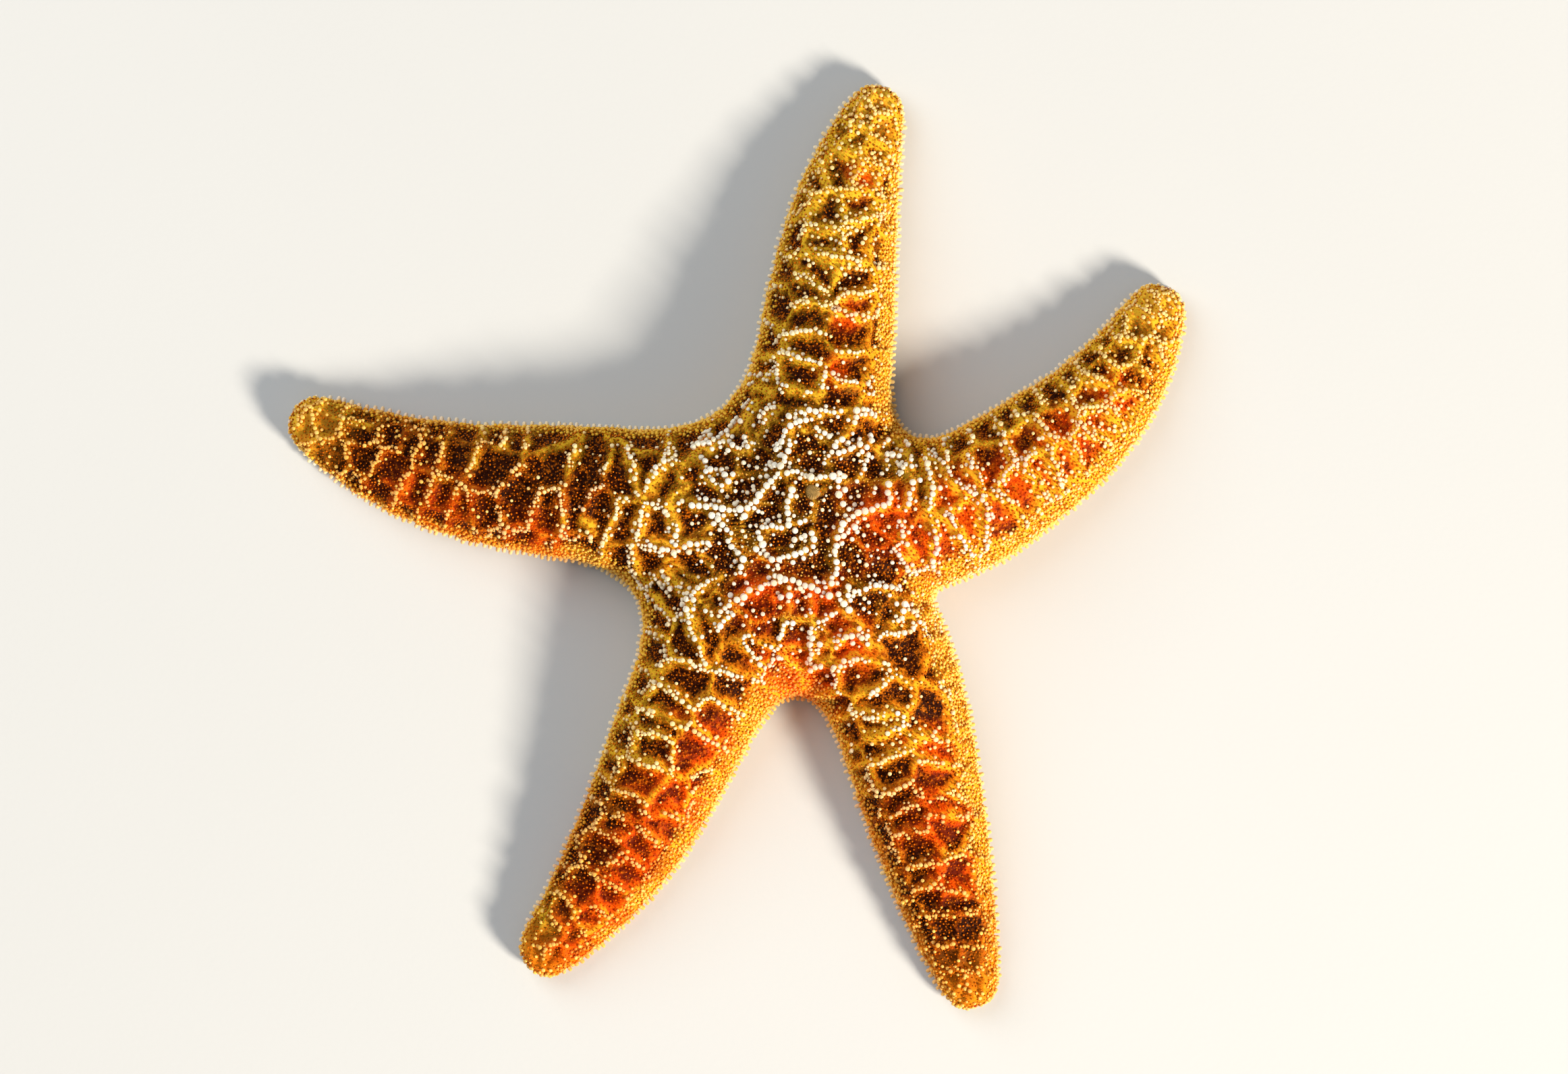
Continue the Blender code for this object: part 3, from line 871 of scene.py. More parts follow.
def stamp(form, at, up, size, twist):
    """Copies of a form: each point is at + x*side*width + y*ahead*depth + z*up*height.

    Side and ahead are turned by the twist about up, so that no two copies look alike.
    """
    points, triangles, _ = form
    up = unit(up)
    guide = np.where((np.abs(up[:, 2]) > 0.9)[:, None], (1.0, 0.0, 0.0), (0.0, 0.0, 1.0))
    side = unit(np.cross(guide, up))
    side = side * np.cos(twist)[:, None] + np.cross(up, side) * np.sin(twist)[:, None]
    ahead = np.cross(up, side)
    axes = np.stack([side, ahead, up], axis=1) * size[:, :, None]
    copies = at[:, None, :] + np.einsum("pk,nkj->npj", points, axes)
    shift = (np.arange(len(at)) * len(points))[:, None, None]
    return copies.reshape(-1, 3), (triangles[None] + shift).reshape(-1, 3)


def stamped_pieces(name, form, seats, width, height, mat, tint, up=None):
    """Meshes of many stamped copies, with their tint and their patches on the OFBake map.

    Each copy is about as wide and as high as told, and its patch is laid from its seat's
    map place. The copies are shared out so that each mesh stays under the triangle limit.
    """
    points, triangles, maps = form
    up = seats["up"] if up is None else up
    count = len(width)
    rng = np.random.default_rng(count)
    twist = rng.uniform(0.0, TURN, count)
    size = np.stack([width * rng.uniform(*SQUASH, count), width * rng.uniform(*SQUASH, count),
                     height], axis=1)
    parts = math.ceil(count * len(triangles) / MOST_TRIANGLES)
    for part in range(parts):
        own = np.arange(part, count, parts)
        spots, faces = stamp(form, seats["at"][own], up[own], size[own], twist[own])
        patches = (seats["map"][own][:, None, None, :] + PATCH * maps[None]).reshape(-1, 3, 2)
        tags = {"tint": np.clip(tint, 0.0, 1.0), "warm": seats["warm"], "dark": seats["dark"]}
        tags = {tag: np.repeat(values[own], len(points)) for tag, values in tags.items()}
        tags["tall"] = np.tile(points[:, 2], len(own))
        label = name if parts == 1 else f"{name}_{part + 1}"
        add_piece(label, spots, faces, mat, patches, tags)


def add_piece(name, points, triangles, mat, maps, tags=None):
    """A smooth mesh object at the origin, riding on the body, with its map and its point tags."""
    mesh = bpy.data.meshes.new(name)
    mesh.vertices.add(len(points))
    mesh.vertices.foreach_set("co", np.ascontiguousarray(points, dtype=np.float32).ravel())
    mesh.loops.add(3 * len(triangles))
    mesh.loops.foreach_set("vertex_index", np.ascontiguousarray(triangles, dtype=np.int32).ravel())
    mesh.polygons.add(len(triangles))
    mesh.polygons.foreach_set("loop_start", np.arange(0, 3 * len(triangles), 3, dtype=np.int32))
    mesh.polygons.foreach_set("loop_total", np.full(len(triangles), 3, dtype=np.int32))
    mesh.update(calc_edges=True)
    layer = mesh.uv_layers.new(name="OFBake")
    flat = np.clip(np.ascontiguousarray(maps, dtype=np.float32), 0.0, 1.0).ravel()
    layer.data.foreach_set("uv", flat)
    for tag, values in (tags or {}).items():
        attribute = mesh.attributes.new(tag, "FLOAT", "POINT")
        attribute.data.foreach_set("value", np.ascontiguousarray(values, dtype=np.float32))
    mesh.validate()
    mesh.shade_smooth()
    mesh.materials.append(mat)
    obj = bpy.data.objects.new(name, mesh)
    bpy.context.scene.collection.objects.link(obj)
    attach(obj, BODY)
    return obj


# ---- materials --------------------------------------------------------------

BUMP_STRENGTH = 0.6
GRAIN_BAND = (0.36, 0.64)      # of the noise, spread out to the full range
STAIN_SHARE = 0.4              # of the stain in the blotches of a spine head
ROOT_BAND = (0.05, 0.42)       # up a spine, from its root's colour to its head's


class Shading:
    """Adds nodes to one tree; an input is linked when given a socket, else set."""

    def __init__(self, tree):
        self.tree = tree
        tree.nodes.clear()

    def add(self, kind, inputs=(), **settings):
        """One node, with its settings and then its inputs."""
        node = self.tree.nodes.new(kind)
        for name, value in settings.items():
            setattr(node, name, value)
        for name, value in dict(inputs).items():
            self.feed(node.inputs[name], value)
        return node

    def feed(self, socket, value):
        """Link the socket to another, or set its value."""
        if isinstance(value, bpy.types.NodeSocket):
            self.tree.links.new(value, socket)
        else:
            socket.default_value = value

    def attribute(self, name):
        """One tag of the points."""
        return self.add("ShaderNodeAttribute", attribute_name=name).outputs["Fac"]

    def noise(self, place, scale, detail, roughness):
        """Soft noise about a half, in waves as short as one over the scale."""
        return self.add("ShaderNodeTexNoise", {"Vector": place, "Scale": scale, "Detail": detail,
                                               "Roughness": roughness}).outputs["Fac"]

    def math(self, kind, a, b=0.0, c=0.0):
        """One sum or product; MULTIPLY_ADD is a times b plus c."""
        return self.add("ShaderNodeMath", {0: a, 1: b, 2: c}, operation=kind).outputs[0]

    def spread(self, value, low, high, to_low=0.0, to_high=1.0):
        """The value carried evenly from one range to another, and held at both ends."""
        return self.add("ShaderNodeMapRange", {
            "Value": value, "From Min": low, "From Max": high,
            "To Min": to_low, "To Max": to_high}).outputs["Result"]

    def mix(self, factor, a, b, share=1.0):
        """Colour a at 0 and b at 1, by a share of the factor."""
        if share != 1.0:
            factor = self.math("MULTIPLY", factor, share)
        return self.add("ShaderNodeMix", {0: factor, 6: a, 7: b}, data_type="RGBA").outputs[2]

    def times(self, a, b):
        """Product of two colours, part by part."""
        return self.add("ShaderNodeMix", {0: 1.0, 6: a, 7: b}, data_type="RGBA",
                        blend_type="MULTIPLY").outputs[2]

    def ramp(self, value, stops):
        """The colour between the two stops on either side of the value."""
        node = self.add("ShaderNodeValToRGB", {"Fac": value})
        elements = node.color_ramp.elements
        while len(elements) < len(stops):
            elements.new(0.5)
        for element, (place, colour) in zip(elements, stops):
            element.position = place
            element.color = colour
        return node.outputs["Color"]


def rgba(colour, light=1.0):
    """The colour's three parts times the light, and full cover."""
    return (colour[0] * light, colour[1] * light, colour[2] * light, 1.0)


def paint(name, light=1.0):
    """One of the add-on's colours, times the light."""
    return rgba(getattr(bpy.context.scene.sea_star_colours, name), light)


def flesh_grain_group():
    """Shared grain of living skin and lime: a blotch, a speckle, a fleck and a height.

    The height is the speckle's noise less half the distance to the nearest cell's middle.
    """
    name = "Sea Star Grain"
    if name in bpy.data.node_groups:
        return bpy.data.node_groups[name]
    group = bpy.data.node_groups.new(name, "ShaderNodeTree")
    for label in ("Blotch Scale", "Speckle Scale"):
        group.interface.new_socket(label, in_out="INPUT", socket_type="NodeSocketFloat")
    for label in ("Blotch", "Speckle", "Fleck", "Height"):
        group.interface.new_socket(label, in_out="OUTPUT", socket_type="NodeSocketFloat")
    shading = Shading(group)
    given = shading.add("NodeGroupInput").outputs
    place = shading.add("ShaderNodeTexCoord").outputs["Object"]
    blotch = shading.noise(place, given["Blotch Scale"], 3.0, 0.6)
    speckle = shading.noise(place, given["Speckle Scale"], 2.0, 0.55)
    fleck_scale = shading.math("MULTIPLY", given["Speckle Scale"], 0.6)
    cells = shading.add("ShaderNodeTexVoronoi", {"Vector": place, "Scale": given["Speckle Scale"]})
    half_cells = shading.math("MULTIPLY", cells.outputs["Distance"], 0.5)
    shading.add("NodeGroupOutput", {
        "Blotch": shading.spread(blotch, *GRAIN_BAND),
        "Speckle": shading.spread(speckle, *GRAIN_BAND),
        "Fleck": shading.noise(place, fleck_scale, 4.0, 0.72),
        "Height": shading.math("SUBTRACT", speckle, half_cells)})
    return group


def start_material(name, blotch_scale, speckle_scale):
    """A new material, its shading helper and its grain's outputs."""
    mat = bpy.data.materials.new(name)
    mat.use_nodes = True
    shading = Shading(mat.node_tree)
    grain = shading.add("ShaderNodeGroup", {
        "Blotch Scale": blotch_scale, "Speckle Scale": speckle_scale},
        node_tree=flesh_grain_group())
    return mat, shading, grain.outputs


def close_material(shading, colour, roughness, grain, bump_distance, gloss=0.10):
    """Principled shader with bump from the grain's height.

    The roughness is one number, or a range that the grain's speckle runs over.
    """
    if isinstance(roughness, tuple):
        roughness = shading.spread(grain["Speckle"], 0.0, 1.0, *roughness)
    bump = shading.add("ShaderNodeBump", {
        "Height": grain["Height"], "Distance": bump_distance, "Strength": BUMP_STRENGTH})
    shader = shading.add("ShaderNodeBsdfPrincipled", {
        "Base Color": colour, "Roughness": roughness, "Normal": bump.outputs["Normal"],
        "Specular IOR Level": gloss})
    shading.add("ShaderNodeOutputMaterial", {"Surface": shader.outputs["BSDF"]})


def skin_material():
    """Wet skin: dark pits fading through amber to golden ridges, red patches, pale below.

    A place's depth is its pit tag plus shares of the blotch, the dark fields and the disc.
    Each colour is a run of mixes of two, by the tags, the grain or the depth. Flecks and
    dim spots lie where the fleck noise is high and low. Painted light and shade: the colours
    turn from olive to orange towards the key light, the pits' dark brown is deepened as
    painted shade in the hollows, and the dark fields are partly painted shade.
    """
    mat, shading, grain = start_material("sea_star_skin", 420.0, 1700.0)
    mix, spread, sums = shading.mix, shading.spread, shading.math
    blotch, speckle, fleck = (grain[label] for label in ("Blotch", "Speckle", "Fleck"))
    core, ripe, dark, gold, warm, pit, under = (
        shading.attribute(tag) for tag in ("core", "ripe", "dark", "gold", "warm", "pit", "under"))
    veins = shading.add("ShaderNodeTexVoronoi", {
        "Vector": shading.add("ShaderNodeTexCoord").outputs["Object"], "Scale": 850.0},
        feature="DISTANCE_TO_EDGE").outputs["Distance"]

    # Painted light: ridges and the skin round the pits turn from shaded-side to lit-side colours by
    # the lit-side tone; rust and dusk in the dark fields are partly painted shade.
    golden = mix(ripe, paint("shade_side_ridge"), paint("ridge"))
    golden = mix(blotch, shading.times(golden, (0.7, 0.7, 0.7, 1.0)), golden)
    golden = mix(dark, golden, paint("rust_and_shade"), 0.38)
    amber = mix(ripe, paint("olive"), paint("amber"))
    amber = mix(core, amber, paint("olive", 0.75), 0.8)
    amber = mix(dark, amber, paint("dusk"), 0.85)
    amber = mix(spread(veins, 0.12, 0.0), amber, golden, 0.3)
    # Partly painted shade: the deeper a place, the darker, from ridge colour through amber to the
    # pits' dark brown.
    deep = sums("ADD", pit, spread(blotch, 0.0, 1.0, -0.22, 0.22))
    deep = sums("MULTIPLY_ADD", dark, 0.33, deep)
    deep = sums("MULTIPLY_ADD", core, 0.22, deep)
    top = mix(spread(deep, 0.05, 0.28), mix(core, golden, paint("disc_ridge"), 0.9), amber)
    top = mix(spread(deep, 0.30, 0.66), top, mix(speckle, paint("pit", 0.6), paint("pit", 1.6)))

    # Painted light: the flank turns from its shaded-side colour to its lit-side one.
    flank = mix(ripe, paint("cool_flank", 0.85), paint("flank", 0.85))
    flank = mix(blotch, flank, paint("fleck"), 0.5)
    flank = mix(dark, flank, paint("rust_and_shade"), 0.75)
    top = mix(gold, top, flank)
    # Red patches: their deep hollows turn to ember, partly painted shade.
    red = mix(speckle, paint("warm", 0.75), paint("warm", 1.1))
    red = mix(spread(deep, 0.40, 0.06), red, mix(dark, paint("ridge"), paint("rust_and_shade", 1.35)))
    red = mix(spread(deep, 0.50, 0.95), red, paint("ember"))
    top = mix(warm, top, red, 0.88)

    dull = sums("MULTIPLY_ADD", core, 0.45, sums("MULTIPLY", dark, 0.6))
    shown = sums("MULTIPLY", spread(fleck, 0.54, 0.64, 0.0, 0.8), spread(dull, 0.0, 1.0, 1.0, 0.15))
    top = mix(shown, top, mix(spread(deep, 0.15, 0.55), paint("fleck"), paint("amber")))
    dimmed = sums("MULTIPLY", spread(fleck, 0.48, 0.39, 0.0, 0.8),
                  spread(gold, 0.0, 1.0, 1.0, 0.25))
    top = mix(dimmed, top, shading.times(top, (0.42, 0.22, 0.12, 1.0)))
    below = mix(blotch, paint("underside", 0.75), paint("underside", 1.1))
    close_material(shading, mix(under, top, below), (0.45, 0.7), grain, 0.00025, gloss=0.03)
    return mat


def spine_material(name, root, stops, warm_share=0.15, roughness=(0.38, 0.62), rust_and_shade_share=0.0,
                   gloss=0.10):
    """Lime spines: coloured by their tint from root to head, with chalky grain.

    Each stop is a place on the tint, a colour's name and its light. The head is stained
    in its blotches, and takes shares of the root's colour in warm marks and of rust in
    dark fields, partly painted shade.
    """
    mat, shading, grain = start_material(name, 420.0, 2600.0)
    warm = shading.attribute("warm")
    head = shading.ramp(shading.attribute("tint"),
                        [(place, paint(*colour)) for place, *colour in stops])
    head = shading.mix(grain["Blotch"], head, shading.times(head, paint("stain")), STAIN_SHARE)
    base = shading.mix(warm, root, paint("warm"))
    head = shading.mix(warm, head, base, warm_share)
    # Partly painted shade: rust over the heads in the dark fields.
    head = shading.mix(shading.attribute("dark"), head, paint("rust_and_shade"), rust_and_shade_share)
    colour = shading.mix(shading.spread(shading.attribute("tall"), *ROOT_BAND), base, head)
    close_material(shading, colour, roughness, grain, 0.00012, gloss)
    return mat


def soft_material(name, colour, other, roughness):
    """Soft wet tissue: two colours in a fine blotch."""
    mat, shading, grain = start_material(name, 700.0, 2400.0)
    mixed = shading.mix(grain["Blotch"], colour, other)
    close_material(shading, mixed, (roughness, roughness + 0.2), grain, 0.00015)
    return mat


# ---- pieces -----------------------------------------------------------------

# Small forms, each turned from pairs of radius in its width and height in its height.
SPINE_HEAD = lathe(((0.0, -0.3), (0.40, -0.25), (0.41, 0.3), (0.50, 0.68), (0.46, 0.90),
                    (0.28, 0.99), (0.0, 1.02)), 8)
FLANK_SPINE = lathe(((0.0, -0.2), (0.44, -0.15), (0.50, 0.5), (0.34, 0.88), (0.0, 1.0)), 5)
SPECK = lathe(((0.0, -0.3), (0.42, -0.25), (0.5, 0.5), (0.0, 1.0)), 5)
TOOTH = lathe(((0.0, -0.2), (0.5, -0.15), (0.49, 0.6), (0.33, 0.92), (0.0, 1.0)), 6)
PEG = lathe(((0.0, -0.2), (0.46, -0.15), (0.48, 0.40), (0.46, 0.72), (0.30, 0.93), (0.0, 1.0)), 7)
TUBE_FOOT = lathe(((0.0, 0.0), (0.34, 0.02), (0.27, 0.3), (0.29, 0.55), (0.24, 0.8),
                   (0.48, 0.93), (0.44, 1.0), (0.0, 0.97)), 8)

BEADLESS_WALL = 0.36           # weakest walls that carry no spine heads
BEAD_PITCH = 0.95              # spine heads' spacing along a string, in their width
BEAD_SPREAD = (0.62, 1.22)     # of their widths
BEAD_STRAY = 0.00012           # how far they stray from the line
# Distances from the middle at which their width is the disc's, the arms' and least.
BEAD_WAY = (0.016, 0.034, 0.085)
LEAST_BEAD = 0.85              # width at the tips, in the arms' own
STRING_GAP_LENGTH = 0.0042     # of the waves that break the arms' strings
STRING_GAP_LEVEL = -0.36
BESIDE = 0.92                  # share of spine heads with a smaller one beside them
BESIDE_WAY = (0.75, 1.05)      # how far off it stands, in their width
BESIDE_WIDTH = (0.55, 0.95)    # how wide it is, in their width
BEAD_GAP = 0.72                # least distance between two, in their width
BEAD_MARGIN = (0.0012, 0.0040)  # plan distance in from the outline, on the shaded and on the lit sides
SHADE_AND_LIT_TONES = (0.1, 0.7)        # lit-side tone of those shaded and lit sides
LIT_FLANK_WIDENING = 0.46          # painted light: how much higher the golden flank reaches on the side lit by the key light
FLANK_LEVEL = 0.16
GOLD_FADE = (0.74, 0.92)       # band over which the skin turns golden
GOLD_WAVE = (0.08, 0.008)      # height and length of the waves on its edge
UNDER_FADE = (1.55, 2.7)       # band over which it turns pale
# Tint from the disc out, 0 white and 1 golden, at distances from the middle.
TINT_WAY = ((0.022, 0.045, 0.078, 0.1), (0.0, 0.34, 0.85, 1.0))
SPINE_STOPS = ((0.0, "disc_spine"), (0.45, "arm_spine"), (1.0, "tip_spine"))
PIT_SPACING = 0.0012           # least distance between lone heads in the pits
TIP_SPACING = 0.00112          # and near the arm tips
LONE_CLEARANCE = 0.0009        # from the net's heads and from each other
SPECK_SPACING = 0.00074
FLANK_SPACING = 0.00092
FRINGE_PITCH = 0.00122         # between the pegs round the edge
FRINGE_GIRTH = 0.70            # their width, in their full length
# Rows of pegs: name, band, share of the full length, and lean down.
FRINGE_ROWS = (("fringe", 1.15, 1.0, 0.0), ("under_fringe", 1.6, 0.75, -0.5))
SOLE_SPACING = 0.00125
SOLE_BAND = (1.8, 2.92)        # within which the sole spines stand
GROOVE_EDGE = 2.99             # band of the row of spines along each groove
GROOVE_PITCH = 0.0011
FOOT_ROWS = (3.25, 3.68)       # bands of the tube feet in each half groove
FOOT_PITCH = 0.0014
LEAST_ROOM = 0.0009            # under a tube foot's seat
MOUTH_FILL = 0.85              # soft mouth's radius, in the mouth hollow's
MOUTH_LIFT = 0.0024            # of its root over the solid's top
LIP_FOLDS = 15.0               # round the mouth
FURROWS = 17.0                 # round the madreporite


def plan_of(seats):
    """Plan places of the seats, x and y, from the disc's middle."""
    return seats["at"][:, 0] - MIDDLE[0], seats["at"][:, 1] - MIDDLE[1]


def place_tint(seats):
    """Tint by the distance from the middle: 0 white to 1 golden, in straight lines between."""
    return np.interp(np.hypot(*plan_of(seats)), *TINT_WAY)


def paleness(tags):
    """0 to 1 for the pale fields: the dark tag with its sign turned."""
    return np.clip(-tags["dark"], 0.0, 1.0)


def downward(seats):
    """Straight down, once for each seat."""
    return np.array([0.0, 0.0, -1.0]) + 0.0 * seats["at"]


def along_line(line, width, rng):
    """Plan points along a line and their widths.

    Each is a pitch times the half widths of two neighbours on from the last, and the row
    is moved on by half of what is left over at the line's end.
    """
    run = np.concatenate([[0.0], np.cumsum(np.hypot(*np.diff(line, axis=0).T))])
    count = 2 + int(run[-1] / (BEAD_PITCH * BEAD_SPREAD[0] * width))
    widths = width * rng.uniform(*BEAD_SPREAD, count)
    at = BEAD_PITCH * (np.cumsum(widths) - widths / 2.0)
    on_line = at < max(run[-1], at[0] + MM * 0.001)
    at = at[on_line] + (run[-1] - at[on_line][-1] - widths[on_line][-1] / 2.0) / 2.0
    return np.stack([np.interp(at, run, line[:, i]) for i in (0, 1)], axis=1), widths[on_line]


def flank_band(tags):
    """Band coordinate plus a share of the lit-side tone, less the flank's level.

    It moves the golden flank up on the sides lit by the key light and down on the shaded ones:
    painted light.
    """
    return tags["band"] + LIT_FLANK_WIDENING * tags["ripe"] - FLANK_LEVEL


def bead_width(r):
    """Width of a spine head at a distance from the middle, in straight lines between three."""
    own = sizes()
    return np.interp(r, BEAD_WAY, (own.disc_spine, own.arm_spine, LEAST_BEAD * own.arm_spine))


def net_bead_seats():
    """Seats along the strings, then along the net's walls, thinned where they meet.

    The strongest lines come first. Walls under the weakest strength carry none, and waves
    below the gap level break the arms' lines. Most heads get a smaller one beside them.
    """
    rng = draws("beads")
    lines = [(line, 1.0) for line in net_strings()] + wall_lines()
    lines.sort(key=lambda entry: -entry[1])
    plan, widths = [], []
    for line, strength in lines:
        if strength < BEADLESS_WALL:
            continue
        width = float(bead_width(np.hypot(*line.mean(axis=0)))) * (0.8 + 0.2 * strength)
        spots, own = along_line(line, width, rng)
        plan.append(spots)
        widths.append(own)
    plan, widths = np.concatenate(plan), np.concatenate(widths)
    x, y = plan.T
    gap = lumps(x, y, 0.0 * x, STRING_GAP_LENGTH, "gaps") < STRING_GAP_LEVEL
    kept = ~gap | (np.hypot(x, y) < CORE_FADE[0])
    plan, widths = plan[kept], widths[kept]
    plan = plan + rng.normal(0.0, BEAD_STRAY, plan.shape)
    pair = rng.random(len(widths)) < BESIDE
    turn = rng.uniform(0.0, TURN, pair.sum())
    away = (widths[pair] * rng.uniform(*BESIDE_WAY, pair.sum()))[:, None]
    beside = plan[pair] + away * around(turn)
    plan = np.concatenate([plan, beside])
    widths = np.concatenate([widths, widths[pair] * rng.uniform(*BESIDE_WIDTH, pair.sum())])
    low, high = (np.array(corner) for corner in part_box("madreporite"))
    plate = (low + high)[:2] / 2.0 - MIDDLE
    inside = star_distance(plan[:, 0], plan[:, 1]) < -BEAD_MARGIN[0]
    inside &= np.hypot(*(plan - plate).T) > (high - low)[0] / 2.0 + widths / 2.0
    seats, held = drop_seats(*plan[inside].T)
    seats["width"] = widths[inside][held]
    edge = star_distance(*plan_of(seats))
    seats = pick(seats, edge < -np.interp(seats["ripe"], SHADE_AND_LIT_TONES, BEAD_MARGIN))
    return thin(seats, BEAD_GAP * seats["width"])


def build_skin():
    """The skin, golden low on the flanks and at the arm tips, and pale below.

    Gold is the eased flank band with waves on its edge, or the eased share of the arm's
    length, whichever is greater. The flank band reaches higher on the side lit by the key
    light: painted light.
    """
    model = skin()
    x, y, z = model["points"].T
    waves = GOLD_WAVE[0] * lumps(x, y, z, GOLD_WAVE[1], "gold")
    gold = np.maximum(between(flank_band(model) + waves, *GOLD_FADE),
                      0.8 * between(model["share"], 0.85, 1.0))
    tags = {name: model[name] for name in ("pit", "warm", "core", "ripe", "dark")}
    tags.update(gold=gold, under=between(model["band"], *UNDER_FADE))
    obj = add_piece("skin", model["points"], model["triangles"], skin_material(),
                    model["maps"], tags)
    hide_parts(*SKIN_NODES)


def build_net_spines():
    """Spine heads strung along the net, whiter near the middle and in the pale fields."""
    rng = draws("net_spines")
    seats = net_bead_seats()
    width = seats["width"]
    height = width * rng.uniform(0.75, 0.95, len(width))
    tint = place_tint(seats) - 0.22 * paleness(seats)
    tint = tint + rng.normal(0.0, 0.06, len(width))
    # Partly painted shade: heads in the dark fields take the rust colour.
    mat = spine_material("spine_lime", paint("ridge"), SPINE_STOPS, warm_share=0.28, rust_and_shade_share=0.30)
    stamped_pieces("net_spines", SPINE_HEAD, seats, width, height, mat, tint)


def build_lone_spines():
    """Single spine heads standing in the pits, and the close ones near the arm tips.

    They are thinned together with the net's heads, which come first and are then left
    out. Their width grows a little on the disc and in the pale outer fields.
    """
    rng = draws("lone_spines")
    beads = net_bead_seats()
    pits = scatter("pit_seats", PIT_SPACING,
                   lambda m: (m["band"] < 0.72) * (0.16 + 0.80 * m["core"]), crowd=0.34)
    tips = scatter("tip_seats", TIP_SPACING, lambda m: (m["band"] < 0.95) * np.maximum(
        between(m["share"], 0.6, 0.9) * (m["pit"] < 0.30), paleness(m) * (m["pit"] < 0.8)),
        crowd=0.9)
    joined = {name: np.concatenate([part[name] for part in (beads, pits, tips)]) for name in pits}
    own = np.arange(len(joined["at"])) >= len(beads["at"])
    spacing = np.full(len(own), LONE_CLEARANCE)
    spacing[~own] = beads["width"]
    joined["own"] = own
    seats = thin(joined, spacing)
    seats = pick(seats, seats["own"])
    pale = paleness(seats) * between(seats["share"], 0.3, 0.7)
    width = sizes().arm_spine * rng.uniform(0.45, 0.85, len(seats["at"]))
    width *= 1.0 + 0.2 * seats["core"] + 0.15 * pale
    tint = place_tint(seats) + 0.12 - 0.42 * pale + rng.normal(0.0, 0.08, len(width))
    mat = spine_material("lone_spine_lime", paint("ridge"), SPINE_STOPS)
    stamped_pieces("lone_spines", SPINE_HEAD, seats, width, 0.8 * width, mat, tint)


def build_specks():
    """Tiny pincers and skin gills over the whole back, close on the disc, darker in the pits."""
    rng = draws("specks")
    seats = scatter("speck_seats", SPECK_SPACING,
                    lambda m: (m["band"] < 0.95) * (0.5 + 0.5 * m["core"]))
    width = sizes().speck * rng.uniform(0.7, 1.25, len(seats["at"]))
    tint = rng.beta(1.1, 1.0, len(width)) * (0.45 + 0.55 * seats["core"])
    tint *= 1.0 - (0.75 - 0.3 * seats["core"]) * np.clip(seats["pit"], 0.0, 1.0)
    mat = spine_material("speck_lime", paint("pit"), (
        (0.0, "amber", 0.5), (0.3, "amber", 1.1), (0.75, "tip_spine"), (1.0, "disc_spine")),
        warm_share=0.6, rust_and_shade_share=0.7, gloss=0.04)
    stamped_pieces("specks", SPECK, seats, width, width, mat, tint)


def build_flank_spines():
    """Dense small golden spines on the flanks, down to the sole, larger towards the edge."""
    rng = draws("flank_spines")
    # Painted light: the golden flank spines reach higher on the side lit by the key light.
    seats = scatter("flank_seats", FLANK_SPACING, lambda m: (m["band"] < 1.1) * between(
        np.maximum(flank_band(m), m["band"] - 0.04), 0.66, 0.90))
    count = len(seats["at"])
    edge = between(seats["band"], 0.80, 1.02)
    width = sizes().flank_spine * rng.uniform(0.65, 1.15, count) * (1.0 + 0.25 * edge)
    # Painted light: heads paler on the side lit by the key light.
    tint = 0.25 * rng.random(count) + 0.3 * seats["ripe"] + 0.45 * edge * rng.random(count)
    mat = spine_material("flank_lime", paint("flank", 0.8), (
        (0.0, "cool_flank"), (0.5, "tip_spine"), (1.0, "arm_spine")),
        warm_share=0.6, rust_and_shade_share=0.5, gloss=0.05)
    stamped_pieces("flank_spines", FLANK_SPINE, seats, width, 0.72 * width, mat, tint)


def rim_seats(level, spacing):
    """Seats along both sides of every arm at one band level, evenly spaced.

    They are the middles of the triangles that the level runs through, taken in turn.
    """
    model = skin()
    tri = model["triangles"]
    band = model["band"][tri]
    faces = np.flatnonzero((band.min(axis=1) <= level) & (band.max(axis=1) > level))
    seats = seats_on(faces, np.full((len(faces), 3), 1.0 / 3.0))
    order = np.lexsort((seats["s"], model["half"][tri[faces]].max(axis=1)))
    return thin(pick(seats, order), spacing)


def build_fringe():
    """Two rows of blunt pegs round the edge: one straight out, a shorter one below it.

    A peg points as its seat's normal does in plan, with a little chance and its row's
    lean, and is lifted by as much as its lower side would sink under the floor.
    """
    rng = draws("fringe")
    mat = spine_material("fringe_lime", paint("flank", 0.6), (
        (0.0, "flank"), (0.35, "tip_spine"), (0.65, "arm_spine"), (1.0, "disc_spine")),
        warm_share=0.3, rust_and_shade_share=0.3)
    for name, level, share, drop in FRINGE_ROWS:
        seats = rim_seats(level, FRINGE_PITCH)
        count = len(seats["at"])
        up = unit(seats["up"] * np.array([1.0, 1.0, 0.0])) + rng.normal(0.0, 0.07, (count, 3))
        up[:, 2] += drop
        up = unit(up)
        length = share * sizes().fringe_length * rng.uniform(0.85, 1.12, count)
        length *= 1.0 - 0.45 * between(seats["share"], 0.93, 0.99)
        width = FRINGE_GIRTH * sizes().fringe_length * rng.uniform(0.9, 1.08, count)
        lowest = seats["at"][:, 2] + length * up[:, 2] - 0.5 * width
        up[:, 2] += np.clip(-lowest, 0.0, None) / length
        # Painted light: pegs turn paler cream on the sides turned from the key light.
        tint = 0.3 + 0.3 * rng.beta(2.0, 2.0, count) + 0.4 * (1.0 - seats["ripe"])
        stamped_pieces(name, PEG, seats, width, length, mat, tint, up=up)


